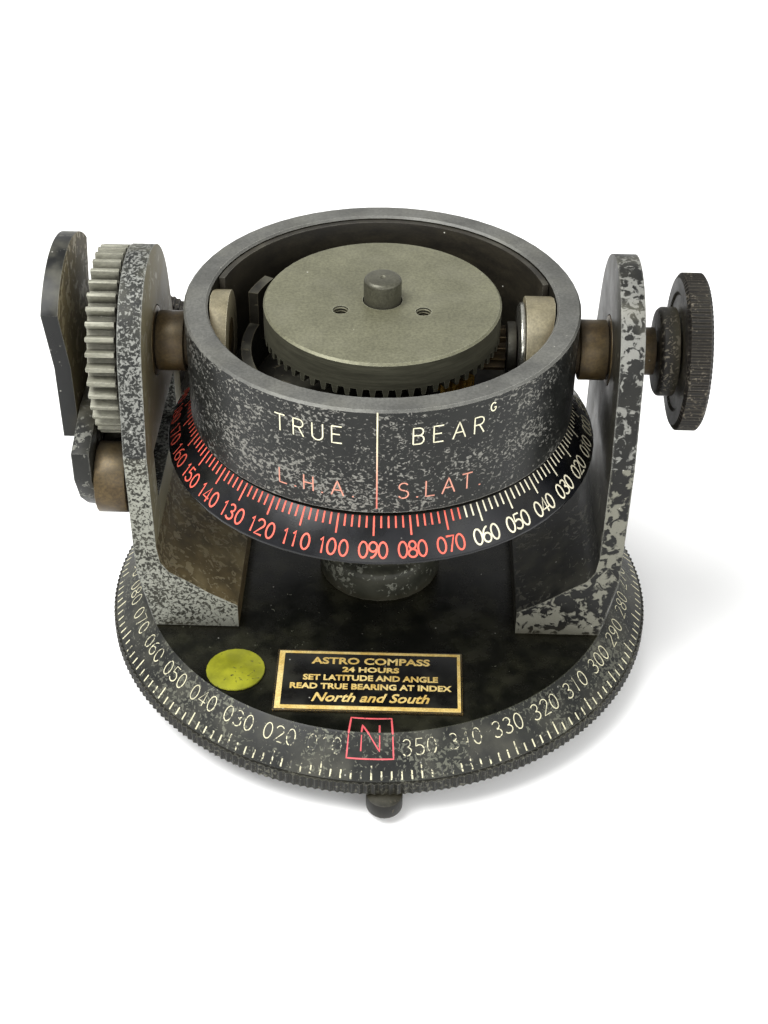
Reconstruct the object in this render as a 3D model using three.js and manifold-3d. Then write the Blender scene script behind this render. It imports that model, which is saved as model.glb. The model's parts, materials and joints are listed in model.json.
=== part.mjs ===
// Astro compass mount: a graduated drum on trunnions, carried by two uprights on a turntable.
// Millimetres, +Z up. The origin is the centre of the base plate's underside, +X runs along the
// trunnion axis towards the hour knob, and the index lines face -Y.
import * as THREE from "three";
import { mergeVertices } from "three/addons/utils/BufferGeometryUtils.js";
import Module from "manifold-3d";

const wasm = await Module();
wasm.setup();

// ---------------------------------------------------------------- sizes
const GAP = 0.3; // between faces that touch on the real object
const RUN = 0.2; // radial clearance of a shaft in its hole
const LARGE = 60; // facets round the large turned parts
const SMALL = 24; // facets round knobs, bosses and trunnions
const TINY = 12; // facets round shafts and screws

// base
const BASE_INSET = 9; // the base disc stands this far inside the rim
const BASE_T = 5.3;
const LUG_OUT = 2.4; // the index lug reaches this far beyond the rim
const LUG_W = 6.9;
const LUG_T = 3.4;
const LUG_ANGLE = -87.4; // degrees from +X
const SPINDLE_R = 6;
const SPINDLE_FLANGE_R = 11;
const SPINDLE_FLANGE_T = 2.4;
const SPINDLE_NUT_AF = 15; // across flats
const SPINDLE_NUT_T = 3.6;

// turntable
const RIM_STEP = 0.6; // the knurled rim stands proud of the bevel
const RIM_H = 3;
const RIM_TEETH = 120;
const RIM_TOOTH = 0.35;
const SCALE_W = 6.5; // width of the bevelled bearing scale, seen from above
const SCALE_H = 6.1;
const FLAT_EDGE = 1.9; // flat face left outside the uprights
const TABLE_SHOULDER = 0.2;
const TABLE_WEB_T = 3.6;
const TABLE_SKIRT_T = 4.4;
const TABLE_HUB_R = 15;
const BOSS_R = 12.5;
const BOSS_H = 7;
const BOSS_WALL = 1.6;

const PLATE_W = 36;
const PLATE_D = 16.4;
const PLATE_T = 0.5;
const PLATE_X = -1.1;
const PLATE_EDGE = 13; // its centre from the edge of the flat face
const DOT_R = 5.7;
const DOT_T = 0.4;
const DOT_EDGE = 0.25; // flat face left outside it
const DOT_ANGLE = -128.95; // degrees from +X

// uprights
const SWEEP_GAP = 0.8; // least room between the tilting ring and the bearing boss
const UPRIGHT_GAP = 1; // between the hour scale ring and an upright
const UPRIGHT_T = 4.4;
const UPRIGHT_TOP_R = 18;
const UPRIGHT_HALF = 21; // half the width of the leg
const UPRIGHT_FLARE = 12.5; // how far below the axis the leg reaches its full width
const FOOT_L = 15; // how far the foot reaches in from the leg
const FOOT_LOW = 5.6; // height of the foot at its inner end
const FOOT_HIGH = 14.3; // height of the foot at the leg
const FILLET = 6;
const WINDOW_HALF = 14;
const BUSH_WALL = 2.1;

// drum
const DRUM_R = 36.7;
const DRUM_WALL = 4.4;
const DRUM_TOP = 10.1; // rim above the trunnion axis
const DRUM_BOTTOM = 11.4; // lower edge below the trunnion axis
const DRUM_FLOOR_T = 1.7;
const RIM_BREAK = 0.4;
const POLAR_R = 5;
const POLAR_BOSS_R = 9;
const LINER_T = 1.2;
const LINER_DROP = 0.5; // liner's edge below the rim
const LINER_END = 13.5; // degrees from the trunnion axis
const LEDGE_ROOM = 5.7; // between the drum's wall and the ledge inside it
const LEDGE_W = 1.9;
const LUG_TOP = 6.8; // height of the ledge's lug above the trunnion axis
const TRUNNION_R = 5.7;
const JOURNAL_R = 4.5;
const INNER_BOSS_R = 9.8;
const LEFT_BOSS_T = 3;
const RIGHT_BOSS_T = 4.9;

// hour rotor
const CROWN_IN = 1.1; // the disc's rim stands this far inside the pinion's outer face
const CROWN_T = 7;
const CROWN_TOOTH_H = 1.9;
const SIGHT_HOLE_R = 1.5;
const SIGHT_HOLE_X = 7.6;
const SIGHT_HOLE_Y = -4;
const SIGHT_HOLE_DEPTH = 3.2;
const PIN_R = 3.5;
const PIN_H = 4.7;
const RING_UNDER = 0.7; // the ring's neck stands this far inside the drum's wall
const RING_W = 5.6; // width of the hour scale, seen from above
const RING_BEVEL_H = 6.2;
const RING_WALL = 1.6;
const RING_HUB_R = 8;
const NUT_AF = 13;
const NUT_T = 3.2;

// hour drive
const PINION_TEETH = 12;
const PINION_R = 4.2;
const PINION_TIP = 0.13; // its tips beyond its pitch circle
const MESH_DEPTH = 1.3; // how far its tips reach up between the crown's teeth
const PINION_TOOTH = 1.5;
const PINION_L = 4.6;
const DRIVE_R = 2;
const COLLAR_R = 5;
const COLLAR_T = 1.7;
const WASHER_R = 8.7;
const WASHER_T = 1.1;
const NECK_OUT = 4.2; // the right journal beyond its upright
const KNOB_R = 14.8;
const KNOB_T = 4.7;
const KNOB_TEETH = 60;
const KNOB_TOOTH = 0.3;
const KNOB_HUB_R = 8.4;
const KNOB_HUB_T = 3.5;

// idler and polar spur gear
const SPUR_ROOM = 4.5; // between the spur gear's pitch circle and the bevel pinion
const SPUR_TEETH = 47;
const IDLER_TEETH = 12;
const SPUR_T = 2.9;
const IDLER_ANGLE = -42.7; // degrees from +X
const IDLER_STUD_R = 1.4;

// latitude worm drive
const WHEEL_TEETH = 40;
const WHEEL_MODULE = 0.85;
const WHEEL_T = 5.3;
const WORM_PITCH_R = 4.1;
const WORM_L = 15;
const WORM_SHAFT_R = 2;
const PIVOT_R = 6.8;
const PIVOT_EDGE = 6.1; // its axis from the front edge of the leg
const BRACKET_T = 3.4;
const GUARD_T = 3.1;
const GUARD_MARGIN = 2.2; // guard beyond the worm wheel's teeth
const GUARD_HALF = 10.4;
const GUARD_DROP = 15.4; // lower end of the guard below the trunnion axis
const GUARD_SCREW_R = 2.4;
const BEARING_T = 5;

// ---------------------------------------------------------------- derived places
const DRUM_BORE = DRUM_R - DRUM_WALL;
const RING_NECK_R = DRUM_R - RING_UNDER;
const RING_R = RING_NECK_R + RING_W;
const UPRIGHT_IN = RING_R + UPRIGHT_GAP;
const upOuter = UPRIGHT_IN + UPRIGHT_T;
const FOOT_IN = UPRIGHT_IN - FOOT_L;
const SCALE_IN_R = upOuter + FLAT_EDGE;
const SCALE_OUT_R = SCALE_IN_R + SCALE_W;
const RIM_R = SCALE_OUT_R + RIM_STEP;
const BASE_R = RIM_R - BASE_INSET;
const LUG_R = RIM_R + LUG_OUT;
const PLATE_Y = PLATE_EDGE - SCALE_IN_R;
const BUSH_R = JOURNAL_R + BUSH_WALL;
const NECK_END = upOuter + NECK_OUT;
const PIVOT_Y = PIVOT_EDGE - UPRIGHT_HALF;

const tableBottom = BASE_T + GAP + 0.1;
const rimTop = tableBottom + RIM_H;
const tableTop = rimTop + TABLE_SHOULDER + SCALE_H;
const footBottom = tableTop + GAP;

// The trunnion axis is as low as the ring's sweep over the bearing boss lets it be.
const ringDrop = DRUM_BOTTOM + 0.6 + 0.5 + RING_BEVEL_H;
const ringSweep = Math.hypot(RING_R, ringDrop + 0.5);
const AXIS_Z = Math.ceil((footBottom + BOSS_H + ringSweep + SWEEP_GAP) * 10) / 10;

const drumTop = AXIS_Z + DRUM_TOP;
const drumBottom = AXIS_Z - DRUM_BOTTOM;
const floorTop = drumBottom + 0.6 + DRUM_FLOOR_T;
const crownBottom = AXIS_Z + PINION_R - MESH_DEPTH;
const crownTop = crownBottom + CROWN_T;
const slotTop = crownBottom + CROWN_TOOTH_H;
const ringTop = drumBottom - 0.6;
const ringEdge = AXIS_Z - ringDrop;

// The hour drive is stacked inwards from the right inner boss.
const bossFace = DRUM_BORE - GAP - RIGHT_BOSS_T - 0.5;
const washerX = bossFace - 0.1 - WASHER_T;
const collarX = washerX - GAP - COLLAR_T;
const PINION_X = collarX - 0.2 - PINION_L;
const CROWN_TOOTH_IN = PINION_X - 1.2;
const CROWN_R = PINION_X + PINION_L - CROWN_IN;
// As many teeth as the pinion's pitch puts on the crown, halfway across where the two mesh.
const meshR = (PINION_X + CROWN_R) / 2;
const CROWN_TEETH = Math.round((PINION_TEETH * meshR) / (PINION_R - PINION_TIP));

const wheelIn = upOuter + 0.5;
const wheelOut = wheelIn + WHEEL_T;
const wheelPitchR = (WHEEL_TEETH * WHEEL_MODULE) / 2;
const wheelR = wheelPitchR + 0.8;
const GUARD_R = wheelR + GUARD_MARGIN;
const wormX = -(wheelIn + wheelOut) / 2;
const wormZ = AXIS_Z - wheelPitchR - WORM_PITCH_R - 0.25;
const wormLead = Math.PI * WHEEL_MODULE;
const wormCrest = WORM_PITCH_R + 0.6;
const bracketIn = wheelOut + 0.6;
const bracketOut = bracketIn + BRACKET_T;
const guardIn = bracketOut + GAP;
const guardOut = guardIn + GUARD_T;
const spurBottom = crownBottom - 0.5 - SPUR_T;
const SPUR_MODULE = ((PINION_X - SPUR_ROOM) * 2) / SPUR_TEETH;
const spurDistance = ((SPUR_TEETH + IDLER_TEETH) * SPUR_MODULE) / 2 + 0.15;
const idlerX = spurDistance * Math.cos((IDLER_ANGLE * Math.PI) / 180);
const idlerY = spurDistance * Math.sin((IDLER_ANGLE * Math.PI) / 180);

// ---------------------------------------------------------------- helpers
const rad = (degrees) => (degrees * Math.PI) / 180;

// A geometry as a manifold-3d solid.
function solid(geometry) {
  const plain = geometry.index ? geometry.toNonIndexed() : geometry.clone();
  plain.deleteAttribute("normal");
  plain.deleteAttribute("uv");
  const merged = mergeVertices(plain, 1e-4);
  const mesh = new wasm.Mesh({
    numProp: 3,
    vertProperties: merged.attributes.position.array,
    triVerts: new Uint32Array(merged.index.array),
  });
  return new wasm.Manifold(mesh);
}

// A manifold-3d solid back as a geometry.
function geometryOf(made) {
  const mesh = made.getMesh();
  const geometry = new THREE.BufferGeometry();
  geometry.setAttribute("position", new THREE.BufferAttribute(mesh.vertProperties, 3));
  geometry.setIndex(new THREE.BufferAttribute(mesh.triVerts, 1));
  geometry.computeVertexNormals();
  return geometry;
}

const cut = (body, ...tools) =>
  geometryOf(tools.reduce((left, tool) => left.subtract(solid(tool)), solid(body)));
const join = (body, ...others) =>
  geometryOf(others.reduce((left, other) => left.add(solid(other)), solid(body)));
const keep = (body, other) => geometryOf(solid(body).intersect(solid(other)));

// A turned part about Z. The profile is [radius, height] pairs, going up the outside.
function turned(profile, segments) {
  const points = profile.map(([r, z]) => new THREE.Vector2(r, z));
  return new THREE.LatheGeometry(points, segments).rotateX(Math.PI / 2);
}

// A turned ring: the profile is closed on itself.
const ringOf = (profile, segments) => turned([...profile, profile[0]], segments);

// A plain tube about Z.
const tube = (outer, inner, low, high, segments) =>
  ringOf([[inner, low], [outer, low], [outer, high], [inner, high]], segments);

// A solid rod about Z.
const rod = (radius, low, high, segments) =>
  turned([[0, low], [radius, low], [radius, high], [0, high]], segments);

// A part drawn about Z is laid with its height along X.
const alongX = (geometry) => geometry.rotateY(Math.PI / 2);

// A part drawn about Z is laid with its height along Y.
const alongY = (geometry) => geometry.rotateX(-Math.PI / 2);

// An outline of [x, y] points, extruded up from a height.
function prism(points, low, height) {
  const shape = new THREE.Shape(points.map(([x, y]) => new THREE.Vector2(x, y)));
  const options = { depth: height, bevelEnabled: false, steps: 1 };
  return new THREE.ExtrudeGeometry(shape, options).translate(0, 0, low);
}

// An outline of [y, z] points, extruded along X.
function plateX(points, low, height) {
  const geometry = prism(points, low, height);
  const matrix = new THREE.Matrix4().makeBasis(
    new THREE.Vector3(0, 1, 0),
    new THREE.Vector3(0, 0, 1),
    new THREE.Vector3(1, 0, 0),
  );
  return geometry.applyMatrix4(matrix);
}

// A box between two corners.
function block(low, high) {
  const size = high.map((value, axis) => value - low[axis]);
  const middle = high.map((value, axis) => (value + low[axis]) / 2);
  return new THREE.BoxGeometry(...size).translate(...middle);
}

// Points on an arc, in degrees.
function arc(cx, cy, radius, from, to, steps) {
  return Array.from({ length: steps + 1 }, (_, i) => {
    const angle = rad(from + ((to - from) * i) / steps);
    return [cx + radius * Math.cos(angle), cy + radius * Math.sin(angle)];
  });
}

// A toothed outline. Each tooth is centred on a multiple of the pitch plus the offset.
function toothed(teeth, root, tip, rootPart, tipPart, offset) {
  const pitch = (2 * Math.PI) / teeth;
  const points = [];
  for (let i = 0; i < teeth; i += 1) {
    const centre = i * pitch + offset;
    for (const [r, part] of [[root, -rootPart], [tip, -tipPart], [tip, tipPart], [root, rootPart]]) {
      const angle = centre + (part * pitch) / 2;
      points.push([r * Math.cos(angle), r * Math.sin(angle)]);
    }
  }
  return points;
}

// A fine serrated outline, one ridge to each pitch.
function serrated(teeth, root, tip) {
  const points = [];
  for (let i = 0; i < teeth; i += 1) {
    const angle = (i * 2 * Math.PI) / teeth;
    const half = Math.PI / teeth;
    points.push([tip * Math.cos(angle), tip * Math.sin(angle)]);
    points.push([root * Math.cos(angle + half), root * Math.sin(angle + half)]);
  }
  return points;
}

// A hexagon of a given size across its flats.
function hexagon(acrossFlats) {
  const radius = acrossFlats / Math.sqrt(3);
  return arc(0, 0, radius, 0, 300, 5);
}

const material = (color, metalness, roughness) =>
  new THREE.MeshStandardMaterial({ color, metalness, roughness, flatShading: true });

const BLACK = () => material(0x1f201e, 0.2, 0.5);
const GLOSS = () => material(0x141517, 0.2, 0.3);
const STEEL = () => material(0x75756f, 0.8, 0.5);
const OLIVE = () => material(0x7d7c6c, 0.7, 0.5);
const BRONZE = () => material(0x5c4a2c, 0.8, 0.5);
const BRASS = () => material(0xb08d3e, 0.9, 0.35);
const BRIGHT = () => material(0xb9b8b0, 0.9, 0.25);
const PALE = () => material(0x9b9a8c, 0.7, 0.6);
const TAN = () => material(0xa09a82, 0.6, 0.6);

const instrument = new THREE.Group();
function add(name, geometry, look) {
  const mesh = new THREE.Mesh(geometry, look);
  mesh.name = name;
  instrument.add(mesh);
}

// ---------------------------------------------------------------- base
{
  const disc = turned([[0, 0], [BASE_R - 0.6, 0], [BASE_R, 0.6], [BASE_R, BASE_T], [0, BASE_T]], LARGE);
  const lugEnd = LUG_R - LUG_W / 2;
  const outline = [
    [BASE_R - 8, -LUG_W / 2],
    ...arc(lugEnd, 0, LUG_W / 2, -90, 90, 12),
    [BASE_R - 8, LUG_W / 2],
  ];
  const lug = prism(outline, BASE_T - LUG_T, LUG_T).rotateZ(rad(LUG_ANGLE));
  const seat = rod(SPINDLE_FLANGE_R + RUN, -1, SPINDLE_FLANGE_T + GAP, SMALL);
  const bore = rod(SPINDLE_R + RUN, 0, BASE_T + 1, SMALL);
  add("base_plate", cut(join(disc, lug), seat, bore), GLOSS());
}

const nutSeat = tableTop + GAP;
const spindleTop = nutSeat + SPINDLE_NUT_T + 0.6;
add(
  "base_spindle",
  turned(
    [
      [0, 0],
      [SPINDLE_FLANGE_R, 0],
      [SPINDLE_FLANGE_R, SPINDLE_FLANGE_T],
      [SPINDLE_R, SPINDLE_FLANGE_T],
      [SPINDLE_R, spindleTop - 0.5],
      [SPINDLE_R - 0.5, spindleTop],
      [0, spindleTop],
    ],
    SMALL,
  ),
  STEEL(),
);
add(
  "spindle_nut",
  cut(
    prism(hexagon(SPINDLE_NUT_AF), nutSeat, SPINDLE_NUT_T),
    rod(SPINDLE_R + RUN, nutSeat - 1, nutSeat + SPINDLE_NUT_T + 1, SMALL),
  ),
  STEEL(),
);

// ---------------------------------------------------------------- turntable
{
  const skirtIn = RIM_R - RIM_TOOTH - TABLE_SKIRT_T;
  const webBottom = tableTop - TABLE_WEB_T;
  const table = ringOf(
    [
      [SPINDLE_R + RUN, tableBottom],
      [TABLE_HUB_R, tableBottom],
      [TABLE_HUB_R, webBottom],
      [SCALE_IN_R - TABLE_SKIRT_T, webBottom],
      [skirtIn, tableBottom + RIM_H / 2],
      [skirtIn, tableBottom],
      [SCALE_OUT_R - 0.3, tableBottom],
      [SCALE_OUT_R - 0.3, rimTop],
      [SCALE_OUT_R, rimTop],
      [SCALE_OUT_R, rimTop + TABLE_SHOULDER],
      [SCALE_IN_R, tableTop],
      [SPINDLE_R + RUN, tableTop],
    ],
    LARGE,
  );
  const outline = serrated(RIM_TEETH, RIM_R - RIM_TOOTH, RIM_R);
  const knurl = new THREE.Shape(outline.map(([x, y]) => new THREE.Vector2(x, y)));
  const inner = arc(0, 0, skirtIn + 1, 0, 355, 71);
  knurl.holes.push(new THREE.Path(inner.map(([x, y]) => new THREE.Vector2(x, y))));
  const band = new THREE.ExtrudeGeometry(knurl, { depth: RIM_H, bevelEnabled: false, steps: 1 });
  add("turntable_plate", join(table, band.translate(0, 0, tableBottom)), GLOSS());
}

const bossTop = footBottom + BOSS_H;
add(
  "bearing_boss",
  turned(
    [
      [0, bossTop - BOSS_WALL],
      [BOSS_R - BOSS_WALL, bossTop - BOSS_WALL],
      [BOSS_R - BOSS_WALL, footBottom],
      [BOSS_R, footBottom],
      [BOSS_R, bossTop - 1.6],
      [BOSS_R - 0.5, bossTop - 0.5],
      [BOSS_R - 1.6, bossTop],
      [0, bossTop],
    ],
    SMALL,
  ),
  BLACK(),
);

add(
  "nameplate",
  block(
    [PLATE_X - PLATE_W / 2, PLATE_Y - PLATE_D / 2, footBottom - 0.1],
    [PLATE_X + PLATE_W / 2, PLATE_Y + PLATE_D / 2, footBottom - 0.1 + PLATE_T],
  ),
  GLOSS(),
);
add(
  "dot_sticker",
  rod(DOT_R, footBottom - 0.1, footBottom - 0.1 + DOT_T, SMALL)
    .translate(SCALE_IN_R - DOT_R - DOT_EDGE, 0, 0)
    .rotateZ(rad(DOT_ANGLE)),
  material(0xa5a51a, 0, 0.7),
);

// The leg and its foot, drawn on the +X side.
function upright(withWindow) {
  const tangent = 13;
  const outline = [
    [-UPRIGHT_HALF, footBottom],
    [UPRIGHT_HALF, footBottom],
    [UPRIGHT_HALF, AXIS_Z - UPRIGHT_FLARE],
    ...arc(0, AXIS_Z, UPRIGHT_TOP_R, tangent, 180 - tangent, 24),
    [-UPRIGHT_HALF, AXIS_Z - UPRIGHT_FLARE],
  ];
  const leg = plateX(outline, UPRIGHT_IN, UPRIGHT_T);
  const low = footBottom;
  const footProfile = [
    [FOOT_IN, low],
    [upOuter - 1, low],
    [upOuter - 1, low + FOOT_HIGH + FILLET],
    [UPRIGHT_IN, low + FOOT_HIGH + FILLET],
    [UPRIGHT_IN - 0.5, low + FOOT_HIGH + FILLET / 3],
    [UPRIGHT_IN - FILLET / 3, low + FOOT_HIGH - 0.4],
    [UPRIGHT_IN - FILLET, low + FOOT_HIGH - FILLET / 2],
    [(UPRIGHT_IN + FOOT_IN) / 2 - 2, low + (FOOT_HIGH + FOOT_LOW) / 2 - 1.2],
    [FOOT_IN, low + FOOT_LOW],
  ];
  const footBlock = prism(footProfile, -UPRIGHT_HALF, 2 * UPRIGHT_HALF).applyMatrix4(
    new THREE.Matrix4().makeBasis(
      new THREE.Vector3(1, 0, 0),
      new THREE.Vector3(0, 0, 1),
      new THREE.Vector3(0, -1, 0),
    ),
  );
  // The lower corners follow the edge of the turntable's flat face.
  const corner = Math.hypot(UPRIGHT_HALF, upOuter) + 1;
  const trim = turned(
    [
      [0, low - 1],
      [SCALE_IN_R + 0.1, low - 1],
      [SCALE_IN_R + 0.1, low],
      [corner, low + 20],
      [corner, AXIS_Z + UPRIGHT_TOP_R + 5],
      [0, AXIS_Z + UPRIGHT_TOP_R + 5],
    ],
    LARGE,
  );
  const hole = alongX(rod(BUSH_R + RUN, UPRIGHT_IN - 2, upOuter + 2, SMALL)).translate(0, 0, AXIS_Z);
  const body = cut(keep(join(leg, footBlock), trim), hole);
  if (!withWindow) return body;
  const reach = wormCrest + 0.7;
  const window = block(
    [UPRIGHT_IN - 2, -WINDOW_HALF, wormZ - reach],
    [upOuter + 2, WINDOW_HALF, wormZ + reach],
  );
  return cut(body, window);
}
add("upright_right", upright(false), BLACK());
add("upright_left", upright(true).applyMatrix4(new THREE.Matrix4().makeRotationZ(Math.PI)), BLACK());

const bush = () => alongX(tube(BUSH_R, JOURNAL_R + RUN, UPRIGHT_IN - 0.1, upOuter + 0.2, SMALL));
add("bush_right", bush().translate(0, 0, AXIS_Z), BRONZE());
add("bush_left", bush().rotateZ(Math.PI).translate(0, 0, AXIS_Z), BRONZE());

// ---------------------------------------------------------------- worm bracket and guard
const bearingY = UPRIGHT_HALF - BEARING_T - 0.5;
const shaftRear = UPRIGHT_HALF + 1;
{
  const low = wormZ - 13;
  const outline = [
    [-7, low],
    [6, low],
    [14, low + 5],
    [UPRIGHT_HALF - 0.5, low + 11],
    [UPRIGHT_HALF - 0.5, wormZ + 7],
    [GUARD_HALF - 1, AXIS_Z - GUARD_DROP + 6],
    [-GUARD_HALF + 1, AXIS_Z - GUARD_DROP + 6],
    [-20.3, wormZ + 9],
    [-20.5, wormZ + 3],
    [-17.8, wormZ - 3],
    [-13, wormZ - 8],
  ];
  const plate = plateX(outline, -bracketOut, BRACKET_T);
  const bearing = block(
    [-bracketOut + 1, bearingY, wormZ - 5],
    [-upOuter - GAP, bearingY + BEARING_T, wormZ + 5],
  );
  const shaftHole = alongY(rod(WORM_SHAFT_R + RUN, bearingY - 1, bearingY + BEARING_T + 1, TINY));
  const wormRoom = alongY(rod(wormCrest + 0.5, -WORM_L / 2 - 0.6, WORM_L / 2 + 0.6, SMALL));
  const screws = [-1, 1].map((side) =>
    alongX(rod(1.2 + RUN, -bracketOut - 1, -bracketIn + 1, TINY)).translate(
      0,
      side * GUARD_HALF * 0.6,
      AXIS_Z - GUARD_DROP + 3,
    ),
  );
  add(
    "worm_bracket",
    cut(
      join(plate, bearing),
      shaftHole.translate(wormX, 0, wormZ),
      wormRoom.translate(wormX, 0, wormZ),
      ...screws,
    ),
    BLACK(),
  );
}
{
  const low = AXIS_Z - GUARD_DROP;
  const outline = [
    [-GUARD_HALF, low],
    [GUARD_HALF, low],
    [GUARD_HALF, AXIS_Z],
    ...arc(0, AXIS_Z, GUARD_R, 43, 137, 20),
    [-GUARD_HALF, AXIS_Z],
  ];
  const screws = [-1, 1].flatMap((side) => {
    const y = side * GUARD_HALF * 0.6;
    const z = AXIS_Z - GUARD_DROP + 3;
    const head = alongX(rod(GUARD_SCREW_R + RUN, -guardOut - 1, -guardOut + 1.4 + GAP, TINY));
    const shank = alongX(rod(1.2 + RUN, -guardOut, -guardIn + 1, TINY));
    return [head.translate(0, y, z), shank.translate(0, y, z)];
  });
  add("gear_guard", cut(plateX(outline, -guardOut, GUARD_T), ...screws), BLACK());
}
for (const [index, side] of [-1, 1].entries()) {
  const screw = turned(
    [
      [0, -guardOut],
      [GUARD_SCREW_R, -guardOut],
      [GUARD_SCREW_R, -guardOut + 1.4],
      [1.2, -guardOut + 1.4],
      [1.2, -bracketIn - 0.4],
      [0, -bracketIn - 0.4],
    ],
    TINY,
  );
  const slot = block([-guardOut - 1, -0.3, -3], [-guardOut + 0.5, 0.3, 3]);
  add(
    "guard_screw_" + (index + 1),
    cut(alongX(screw), slot).translate(0, side * GUARD_HALF * 0.6, AXIS_Z - GUARD_DROP + 3),
    STEEL(),
  );
}
{
  const pivotX = [-bracketIn + GAP, -upOuter - GAP];
  const barrel = alongX(rod(PIVOT_R, pivotX[0], pivotX[1], SMALL)).translate(0, PIVOT_Y, wormZ);
  const socket = alongY(rod(WORM_SHAFT_R + RUN, PIVOT_Y - 2.3, 0, TINY)).translate(wormX, 0, wormZ);
  add("pivot_cylinder", cut(barrel, socket), BRONZE());
}

// ---------------------------------------------------------------- drum
const spigotHole = JOURNAL_R + RUN;
{
  const wall = ringOf(
    [
      [POLAR_R + RUN, floorTop - DRUM_FLOOR_T],
      [DRUM_BORE + 1.6, floorTop - DRUM_FLOOR_T],
      [DRUM_BORE + 2.2, drumBottom],
      [DRUM_R, drumBottom],
      [DRUM_R, drumTop - RIM_BREAK],
      [DRUM_R - RIM_BREAK, drumTop],
      [DRUM_BORE + RIM_BREAK, drumTop],
      [DRUM_BORE, drumTop - RIM_BREAK],
      [DRUM_BORE, floorTop],
      [POLAR_BOSS_R, floorTop],
      [POLAR_BOSS_R, floorTop + 4],
      [POLAR_R + RUN, floorTop + 4],
    ],
    LARGE,
  );
  const cross = alongX(rod(spigotHole, -DRUM_R - 2, DRUM_R + 2, SMALL)).translate(0, 0, AXIS_Z);
  const studHole = rod(IDLER_STUD_R + 0.1, floorTop - DRUM_FLOOR_T - 1, floorTop + 1, TINY);
  const between = block([-DRUM_BORE + 2, -12, AXIS_Z - 7], [DRUM_BORE - 2, 12, AXIS_Z + 7]);
  const bores = geometryOf(solid(cross).subtract(solid(between)));
  // A ledge and its lug stand up from the floor, on the left of the rotor.
  const ledgeOut = DRUM_BORE - LEDGE_ROOM;
  const ledgeIn = ledgeOut - LEDGE_W;
  const upstand = (from, to, steps, top) => {
    const outline = [
      ...arc(0, 0, ledgeOut, from, to, steps),
      ...arc(0, 0, ledgeIn, to, from, steps),
    ];
    return prism(outline, floorTop - 0.5, top - floorTop + 0.5);
  };
  const body = join(wall, upstand(132, 206, 14, AXIS_Z), upstand(150, 165, 4, AXIS_Z + LUG_TOP));
  add("drum_housing", cut(body, bores, studHole.translate(idlerX, idlerY, 0)), BLACK());
}
{
  const outer = DRUM_BORE - RUN;
  const inner = outer - LINER_T;
  const end = LINER_END;
  const outline = [...arc(0, 0, outer, end, 180 - end, 40), ...arc(0, 0, inner, 180 - end, end, 40)];
  const low = floorTop + GAP;
  const strip = prism(outline, low, drumTop - LINER_DROP - low);
  const room = alongX(rod(INNER_BOSS_R + GAP, -DRUM_R, DRUM_R, SMALL)).translate(0, 0, AXIS_Z);
  const above = block([-DRUM_R, 0, AXIS_Z - INNER_BOSS_R - 20], [DRUM_R, INNER_BOSS_R, AXIS_Z]);
  add("drum_liner", cut(strip, room, above), BLACK());
}

// The inner bosses are faced off to sit in the drum's round bore.
function innerBoss(thickness) {
  const seat = DRUM_BORE - GAP;
  const ring = alongX(tube(INNER_BOSS_R, spigotHole, seat - thickness - 0.5, DRUM_R, SMALL));
  const bore = rod(seat, floorTop + GAP, drumTop - GAP, LARGE);
  return keep(ring.translate(0, 0, AXIS_Z), bore);
}
add("inner_boss_right", innerBoss(RIGHT_BOSS_T), TAN());
add("inner_boss_left", innerBoss(LEFT_BOSS_T).rotateZ(Math.PI), TAN());

const trunnionIn = DRUM_R + GAP;
const trunnionOut = UPRIGHT_IN - 0.1 - GAP;
add(
  "trunnion_left",
  alongX(
    turned(
      [
        [0, DRUM_BORE - LEFT_BOSS_T - 0.8],
        [JOURNAL_R, DRUM_BORE - LEFT_BOSS_T - 0.8],
        [JOURNAL_R, trunnionIn],
        [TRUNNION_R, trunnionIn],
        [TRUNNION_R, trunnionOut],
        [JOURNAL_R, trunnionOut],
        [JOURNAL_R, wheelOut + 0.3],
        [0, wheelOut + 0.3],
      ],
      SMALL,
    ),
  )
    .rotateZ(Math.PI)
    .translate(0, 0, AXIS_Z),
  BRONZE(),
);
add(
  "trunnion_right",
  alongX(
    ringOf(
      [
        [DRIVE_R + RUN, bossFace + GAP],
        [JOURNAL_R, bossFace + GAP],
        [JOURNAL_R, trunnionIn],
        [TRUNNION_R, trunnionIn],
        [TRUNNION_R, trunnionOut],
        [JOURNAL_R, trunnionOut],
        [JOURNAL_R, NECK_END],
        [DRIVE_R + RUN, NECK_END],
      ],
      SMALL,
    ),
  ).translate(0, 0, AXIS_Z),
  BRONZE(),
);

{
  const pitch = (2 * Math.PI) / WHEEL_TEETH;
  const outline = toothed(WHEEL_TEETH, wheelPitchR - 1.15, wheelR, 0.62, 0.3, pitch / 2);
  const wheel = plateX(outline, -wheelOut, WHEEL_T).translate(0, 0, AXIS_Z);
  const bore = alongX(rod(JOURNAL_R + RUN, -wheelOut - 1, -wheelIn + 1, SMALL)).translate(0, 0, AXIS_Z);
  add("worm_wheel", cut(wheel, bore), PALE());
}
add(
  "idler_stud",
  rod(IDLER_STUD_R, floorTop - DRUM_FLOOR_T, spurBottom + SPUR_T, TINY).translate(idlerX, idlerY, 0),
  STEEL(),
);

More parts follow.
